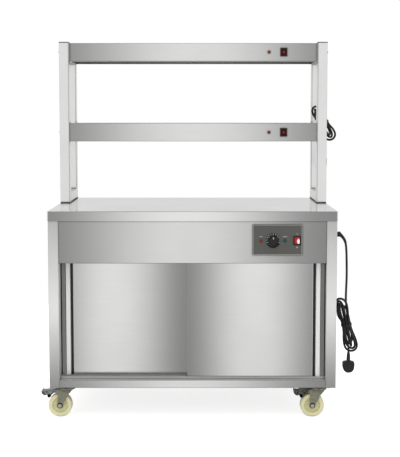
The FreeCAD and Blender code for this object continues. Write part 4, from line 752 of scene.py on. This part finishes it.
for rocker in ("upper_rocker", "lower_rocker"):
    shelf_red = lens_plastic(f"{rocker}_dark_red_acetate", "#3E0B09", "#2A0706", 9 * MM, 0.45, 0.15)
    neon_behind(shelf_red, rocker, (0, 0, 0), (1.5, 6), linear("#E12727"), 0.0, 0.75)
    dress(shelf_red, rocker)
neon_red = lens_plastic("lit_red_acetate", "#C41C17", "#9A130F", 9 * MM, 0.3, 0.3)
neon_behind(neon_red, "main_rocker", (6, 0, -3.5), (4.5, 8.5), linear("#FFF0EB", 1.2), 0.2, 0.8)
dress(neon_red, "main_rocker")

# Worktop: one folded tray of thicker sheet, polished finer than the panels so that the uprights
# show in it, with an even lip all round. It caps the cupboard and carries the gantry.
top_steel = belt_ground_steel("fine_polished_stainless", "#E5E5E4", "across", 0.12, grain=0.03)
top_tree = top_steel.node_tree
# Painted reflection: faces that look upwards are made near-white, standing in for the bright studio that
# they mirror.
top_facing = add(top_tree, "ShaderNodeNewGeometry").outputs["Normal"]
overlay(top_tree, where(top_tree, top_facing, "Z", "GREATER_THAN", 0.9), "#FAFAF9")
dress(top_steel, "worktop")

# Gantry: square tube frames bolted through the worktop on rubber pads, with two heated shelves
# of ground sheet hung between them on dome-headed bolts and closed by moulded end caps.
TUBE_CORNER = 2.6 * MM
tube_steel = belt_ground_steel("ground_stainless_tube", "#F6F6F5", "upright", 0.34, (0.0, -2.0), grain=0.03)
tube_tree = tube_steel.node_tree
tube_facing = add(tube_tree, "ShaderNodeNewGeometry").outputs["Normal"]
# Painted shade: a grey line along the inner edge of each tube's front face.
tube_front = where(tube_tree, tube_facing, "Y", "LESS_THAN", -0.5)
tube_place = add(tube_tree, "ShaderNodeTexCoord").outputs["Object"]
tube_out = add(tube_tree, "ShaderNodeVectorMath", {0: tube_place}, operation="ABSOLUTE")
tube_inner = -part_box("left_gantry_frame")[1].x
tube_near = where(tube_tree, tube_out, "X", "LESS_THAN", tube_inner + TUBE_CORNER)
tube_edge_shade = add(tube_tree, "ShaderNodeMath", {0: tube_near, 1: tube_front}, operation="MULTIPLY")
overlay(tube_tree, tube_edge_shade, "#B4B4B3")
dress(tube_steel, "left_gantry_frame", "right_gantry_frame")
shelf_steel = belt_ground_steel("shelf_ground_stainless", "#E2E2E1", "across", 0.16, (-2.0, 400.0))
dress(shelf_steel, "upper_shelf", "lower_shelf")
dress(zinc_plate("grey_zinc_bolt", "#7E807E", "#62645F"), "shelf_bolts")

# Supply cords: round black PVC flex, 9.5 mm, folded for delivery in long loops that fan out from a
# tie round their waist. Each leaves its gland through a ribbed sleeve and ends in a moulded plug.
CORD = 9.5 * MM
FOLD, WAIST, NEST = 27 * MM, 16.5 * MM, 11.8 * MM
SHOULDER, LAST_SHOULDER, END_RISES = 0.75, 0.7, (34 * MM, 9.5 * MM, 0.0)
sheath = moulded_black("black_pvc_sheath", "#121212", 0.4, 1.4 * MM)
plug_plastic = moulded_black("moulded_black_pvc_plug", "#171717", 0.36, 0.9 * MM)
dress(plug_plastic, "mains_plug", "gantry_plug")
dress(drawn_metal("machined_brass", "#B9A25E", "#9C8748", 0.26, 1 * MM), "plug_pins")


def tied_hank(centre, tilt, half, loops, end):
    """Points of a hank tied round its waist, sixteen a turn, and of the run from it to the plug.

    Each loop is shorter than the last and turned on from it, and widens from its shoulders.
    """
    right = Vector((math.cos(tilt), 0, math.sin(tilt)))
    up = Vector((-math.sin(tilt), 0, math.cos(tilt)))
    turn = math.pi / (loops + 1)
    corner = FOLD * math.tan(math.radians(22.5))
    spread = FOLD / math.cos(turn / 2)

    def spot(angle, aside, rise):
        """A point of the hank, by its turn about the middle line, how far aside and how high."""
        return centre + (right * math.cos(angle) + Vector((0, -math.sin(angle), 0))) * aside + up * rise

    points = []
    for loop in range(loops):
        reach = half - NEST * loop
        down = turn * (loop + 0.5)
        back = down + math.pi
        onward = down + turn
        shoulder = SHOULDER * reach
        points += [spot(down, WAIST, reach / 4), spot(down, WAIST, -reach / 4), spot(down, FOLD, -shoulder)]
        for aside, fall in ((FOLD, corner), (corner, FOLD), (-corner, FOLD), (-FOLD, corner)):
            points.append(spot(down, aside, -reach - fall))
        points += [spot(back, FOLD, -shoulder), spot(back, WAIST, -reach / 4)]
        points += [spot(back, WAIST, reach / 4), spot(back, spread, shoulder)]
        one, two = spot(back, spread, reach), spot(onward, spread, reach)
        across = (two - one).normalized()
        for aside, rise in ((-FOLD, corner), (-corner, FOLD), (corner, FOLD), (FOLD, corner)):
            points.append((one + two) / 2 + across * aside + up * rise)
        points.append(spot(onward, spread, shoulder))
    last = turn * (loops + 0.5)
    points += [spot(last, WAIST, half / 4), spot(last, WAIST, -half / 4)]
    points.append(spot(last, FOLD, -LAST_SHOULDER * half))
    return points + [end + Vector((0, 0, rise)) for rise in END_RISES]


def hung_cord(label, route):
    """A flex on one open spline that the route's points lead."""
    line = bpy.data.curves.new(label, "CURVE")
    line.dimensions = "3D"
    line.bevel_depth = CORD / 2
    line.bevel_resolution = 4
    line.use_fill_caps = True
    spline = line.splines.new("NURBS")
    spline.points.add(len(route) - 1)
    for point, place in zip(spline.points, route):
        point.co = (*place, 1)
    spline.order_u = 3
    spline.use_endpoint_u = True
    spline.resolution_u = 8
    line.materials.append(sheath)
    piece = bpy.data.objects.new(label, line)
    scene.collection.objects.link(piece)
    return piece


def path_of(piece):
    """The points along a flex's own line."""
    bare = piece.data.copy()
    bare.bevel_depth = 0
    holder = bpy.data.objects.new("flex_line", bare)
    scene.collection.objects.link(holder)
    line = plain_mesh(holder)
    points = [vertex.co.copy() for vertex in line.vertices]
    bpy.data.objects.remove(holder)
    bpy.data.curves.remove(bare)
    bpy.data.meshes.remove(line)
    return points


def circle(spot, across, aside, radius, count):
    """Points round a ring."""
    angles = [math.tau * i / count for i in range(count)]
    return [spot + (across * math.cos(angle) + aside * math.sin(angle)) * radius for angle in angles]


RELIEF_THICK, RELIEF_THIN = 7.2 * MM, 5.9 * MM
RIB_GROOVE, RIB_STEPS, SLEEVE_SIDES = 0.7 * MM, 4, 20


def ribbed_sleeve(label, path, length, ribs):
    """A soft sleeve that follows a flex from its first point and tapers, with a groove per rib."""
    reach = [0.0]
    for before, after in zip(path, path[1:]):
        reach.append(reach[-1] + (after - before).length)
    aside = Vector((0, 1, 0))
    rings = []
    steps = ribs * RIB_STEPS
    for step in range(steps + 1):
        along = length * step / steps
        at = max(i for i in range(len(reach) - 1) if reach[i] <= along)
        part = (along - reach[at]) / (reach[at + 1] - reach[at])
        across = (path[at + 1] - path[at]).normalized().cross(aside).normalized()
        groove = RIB_GROOVE if step % RIB_STEPS in (2, 3) else 0
        radius = RELIEF_THICK + (RELIEF_THIN - RELIEF_THICK) * step / steps - groove
        rings.append(circle(path[at].lerp(path[at + 1], part), across, aside, radius, SLEEVE_SIDES))
    shape = bmesh.new()
    skinned(shape, rings)
    piece = object_of(shape, label, plug_plastic)
    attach(piece, "cabinet")
    return piece


ring_tree, ring = pattern(
    "sleeve_rings", Count="Int", Pitch="Float", Taper="Float", Radius="Float", Height="Float", Foot="Vector"
)
ring_index = add(ring_tree, "GeometryNodeInputIndex")
ring_spots = row_upwards(ring_tree, ring, ring_index)
ring_taper = {0: ring_index, 1: ring["Taper"], 2: 1.0}
ring_less = add(ring_tree, "ShaderNodeMath", ring_taper, operation="MULTIPLY_ADD")
ring_scale = add(ring_tree, "ShaderNodeCombineXYZ", {"X": ring_less, "Y": ring_less, "Z": 1.0})
ring_form = {"Vertices": 28, "Radius": ring["Radius"], "Depth": ring["Height"]}
ring_shape = add(ring_tree, "GeometryNodeMeshCylinder", ring_form)
ring_set = add(
    ring_tree,
    "GeometryNodeInstanceOnPoints",
    {"Points": ring_spots, "Instance": ring_shape, "Scale": ring_scale},
)
made_real(ring_tree, ring_set, plug_plastic)

PLUG_HALF, PLUG_TALL, PLUG_WAIST = 25.4 * MM, 51 * MM, 0.45
NECK_SIDES, SHARP_EDGE = 24, math.radians(40)


def moulded_plug(label, turned):
    """A fused plug: a shield-shaped moulding with eased faces, a sunk front and a flared sleeve."""
    middle = middle_of(f"{label}_plug")
    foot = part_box(f"{label}_plug")[0].z
    seat = Matrix.Translation((middle.x, middle.y, foot + PLUG_TALL))
    if turned:
        seat = seat @ Matrix.Rotation(math.radians(90), 4, "Z")
    right_side = [(0.35, 0.0), (0.78, 0.035), (0.93, 0.08), (0.99, 0.16), (1.0, 0.32), (0.98, 0.5)]
    right_side += [(0.91, 0.66), (0.77, 0.8), (0.58, 0.9), (0.36, 0.96), (0.0, 0.985)]
    outline = right_side + [(-wide, drop) for wide, drop in right_side[-2::-1]]
    faces_in = [(-12.0, 8.6), (-12.0, 8.0), (-13.0, 7.0), (-13.0, 3.2)]
    faces_in += [(-12.2, 1.4), (-10.0, 0.3), (-7.0, 0.0)]
    faces_in += [(-place, inset) for place, inset in faces_in[:2:-1]]
    body = []
    for place, inset in faces_in:
        keep = 1 - inset * MM / PLUG_HALF
        ring = []
        for wide, drop in outline:
            fall = PLUG_TALL * (PLUG_WAIST + (drop - PLUG_WAIST) * keep)
            ring.append(seat @ Vector((wide * PLUG_HALF * keep, place * MM, -fall)))
        body.append(ring)
    neck = []
    for height, radius in ((-4, 10.2), (0, 9.4), (3, 8.4), (8, 7.8), (20, 7.1), (35, 6.35)):
        level = Vector((0, 0, height * MM))
        ring = circle(level, Vector((1, 0, 0)), Vector((0, 1, 0)), radius * MM, NECK_SIDES)
        neck.append([seat @ spot for spot in ring])
    shape = bmesh.new()
    skinned(shape, body, smooth=True)
    skinned(shape, neck, smooth=True)
    piece = object_of(shape, f"{label}_moulded_plug", plug_plastic)
    piece.data.set_sharp_from_angle(angle=SHARP_EDGE)
    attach(piece, "cabinet")
    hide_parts(f"{label}_plug")
    return piece


def run_of(*places):
    """A route's points, from millimetres."""
    return [Vector(place) * MM for place in places]


mains_route = run_of(
    (632, -200, 764),
    (646.14, -200, 749.86),
    (652.5, -200, 712),
    (654.5, -200, 650),
    (655.5, -199, 584),
    (653, -198, 522),
    (653, -198, 470),
)
gantry_route = run_of((582, 143, 1495), (582, 143, 1445), (588, 133, 1380), (588, 133, 1330))
mains_centre, mains_end, gantry_centre, gantry_end = run_of(
    (656, -200, 383.5), (664, -214, 265), (600, 143, 1241), (597, 129, 1120)
)
mains_route += tied_hank(mains_centre, math.radians(12.5), 90 * MM, 4, mains_end)
gantry_route += tied_hank(gantry_centre, math.radians(26), 58 * MM, 3, gantry_end)
routes = {"mains": mains_route, "gantry": gantry_route}
cords, reliefs, plugs = {}, {}, {}
for label, route in routes.items():
    cords[label] = hung_cord(f"{label}_cord", route)
    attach(cords[label], "cabinet")
    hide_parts(f"{label}_lead", f"{label}_hank")
for label, length, ribs in (("mains", 34 * MM, 5), ("gantry", 30 * MM, 4)):
    reliefs[label] = ribbed_sleeve(f"{label}_strain_relief", path_of(cords[label]), length, ribs)
for label, turned in (("mains", False), ("gantry", True)):
    plugs[label] = moulded_plug(label, turned)
SLEEVE_DROP = Vector((0, 0, 27 * MM))
for label, length in (("mains", 2.36), ("gantry", 1.455)):
    route = routes[label]
    sleeve_rings = laid_out(
        ring_tree,
        f"{label}_plug_sleeve_rings",
        "cabinet",
        Count=5,
        Pitch=5 * MM,
        Taper=-0.032,
        Radius=8.5 * MM,
        Height=2.4 * MM,
        Foot=route[-1] - SLEEVE_DROP,
    )

# Floor, light and lens: a pale floor, one wide soft box overhead, and a white studio. Two grey flags
# stand beside the lens and two at each side, so that flat steel fades from white to grey towards
# its ends, and the wall behind the object is pale grey.
scene.view_settings.view_transform = "Standard"
WHITE = (1.0, 1.0, 1.0, 1.0)
FLOOR_RADIUS, FADE_START, FADE_END, FLOOR_GLOW = 2.4, 1.3, 2.3, 0.64

floor_mesh = bpy.data.meshes.new("studio_floor")
disc = bmesh.new()
bmesh.ops.create_circle(disc, cap_ends=True, radius=FLOOR_RADIUS, segments=96)
disc.to_mesh(floor_mesh)
disc.free()
floor = bpy.data.objects.new("studio_floor", floor_mesh)
scene.collection.objects.link(floor)
floor.visible_glossy = False
paper, paper_tree, paper_place = bare_finish("matt_white_paper")
paper_reach = add(paper_tree, "ShaderNodeVectorMath", {0: paper_place}, operation="LENGTH")
paper_fade = add(
    paper_tree,
    "ShaderNodeMapRange",
    {"Value": paper_reach, "From Min": FADE_START, "From Max": FADE_END, "To Min": 1.0, "To Max": 0.0},
)
paper_seen = add(paper_tree, "ShaderNodeLightPath").outputs["Is Camera Ray"]
paper_glow = add(paper_tree, "ShaderNodeMath", {0: paper_seen, 1: FLOOR_GLOW}, operation="MULTIPLY")
paper_look = {"Base Color": linear("#F4F4F4"), "Roughness": 0.9, "Emission Color": WHITE}
surfaced(paper_tree, {"Alpha": paper_fade, "Emission Strength": paper_glow, **paper_look})
floor_mesh.materials.append(paper)

FLAG_SHIFT, FLAG_TURN, REAR_TURN = math.radians(1.1), math.radians(45), math.radians(135)
FLAG_LEVEL, REAR_LEVEL, FILL_LEVEL = 0.3, 0.74, 0.86
studio = bpy.data.worlds.new("white_studio")
studio.use_nodes = True
scene.world = studio
sky = studio.node_tree
sky.nodes.clear()
rays = add(sky, "ShaderNodeLightPath").outputs
way = add(sky, "ShaderNodeSeparateXYZ", {0: add(sky, "ShaderNodeTexCoord").outputs["Generated"]}).outputs
ahead = add(sky, "ShaderNodeMath", {0: way["Y"], 1: -1.0}, operation="MULTIPLY")
bearing = add(sky, "ShaderNodeMath", {0: way["X"], 1: ahead}, operation="ARCTAN2")
shifted = add(sky, "ShaderNodeMath", {0: bearing, 1: FLAG_SHIFT}, operation="ADD")
quarter = add(sky, "ShaderNodeMath", {0: shifted, 1: FLAG_TURN}, operation="PINGPONG")
share = add(sky, "ShaderNodeMath", {0: quarter, 1: 1 / FLAG_TURN}, operation="MULTIPLY")
flags = add(sky, "ShaderNodeValToRGB", {0: share})
flags.color_ramp.interpolation = "EASE"
for stop, edge in zip(flags.color_ramp.elements, (0.02, 0.62)):
    stop.position = edge
    stop.color = WHITE
for edge in (0.22, 0.36):
    flags.color_ramp.elements.new(edge).color = (FLAG_LEVEL, FLAG_LEVEL, FLAG_LEVEL, 1.0)
off_lens = add(sky, "ShaderNodeMath", {0: bearing}, operation="ABSOLUTE")
behind = add(sky, "ShaderNodeMath", {0: off_lens, 1: REAR_TURN}, operation="GREATER_THAN")
rear = (REAR_LEVEL, REAR_LEVEL, REAR_LEVEL, 1.0)
around = add(sky, "ShaderNodeMix", {0: behind, 6: flags, 7: rear}, data_type="RGBA")
levels = []
for low_angle, high_angle, low_level, high_level in ((-38, -15, 0.3, 1.0), (20, 45, 1.0, 0.5)):
    low, high = math.sin(math.radians(low_angle)), math.sin(math.radians(high_angle))
    span = {"From Min": low, "From Max": high, "To Min": low_level, "To Max": high_level}
    levels.append(add(sky, "ShaderNodeMapRange", {"Value": way["Z"], **span}))
height_light = add(sky, "ShaderNodeMath", {0: levels[0], 1: levels[1]}, operation="MULTIPLY")
metal_light = add(sky, "ShaderNodeBackground", {"Color": around, "Strength": height_light})
fill_light = add(sky, "ShaderNodeBackground", {"Color": WHITE, "Strength": FILL_LEVEL})
white_light = add(sky, "ShaderNodeBackground", {"Color": WHITE, "Strength": 1.0})
seen = add(
    sky, "ShaderNodeMath", {0: rays["Is Camera Ray"], 1: rays["Is Transmission Ray"]}, operation="MAXIMUM"
)
lit = add(sky, "ShaderNodeMixShader", {0: rays["Is Glossy Ray"], 1: fill_light, 2: metal_light})
view_light = add(sky, "ShaderNodeMixShader", {0: seen, 1: lit, 2: white_light})
add(sky, "ShaderNodeOutputWorld", {0: view_light})

soft_box = bpy.data.lights.new("overhead_soft_box", "AREA")
soft_box.shape = "RECTANGLE"
soft_box.size = 3.2
soft_box.size_y = 2.4
soft_box.energy = 70
soft_box_object = bpy.data.objects.new("overhead_soft_box", soft_box)
scene.collection.objects.link(soft_box_object)
soft_box_object.location = (-0.5, -1.2, 3.9)
soft_box_object.rotation_euler = (math.radians(18), 0, 0)
soft_box_object.visible_glossy = False

# The lens was set from the picture, 400 by 457 pixels: how far it draws, and its own middle
PICTURE_WIDTH, PICTURE_HEIGHT = 400, 457
FOCAL_PIXELS, MIDDLE_X, MIDDLE_Y, LENS_DIP = 861.5, 202.3, 174.0, 0.0687
lens = bpy.data.cameras.new("catalogue_lens")
lens.sensor_width = 36
lens.lens = FOCAL_PIXELS * lens.sensor_width / PICTURE_HEIGHT
lens.shift_x = (PICTURE_WIDTH / 2 - MIDDLE_X) / PICTURE_HEIGHT
lens.shift_y = (MIDDLE_Y - PICTURE_HEIGHT / 2) / PICTURE_HEIGHT
lens_object = bpy.data.objects.new("catalogue_lens", lens)
scene.collection.objects.link(lens_object)
lens_object.location = (0.0404, -3.8292, 1.2777)
lens_object.rotation_euler = (math.radians(90) - LENS_DIP, 0, 0)
scene.camera = lens_object
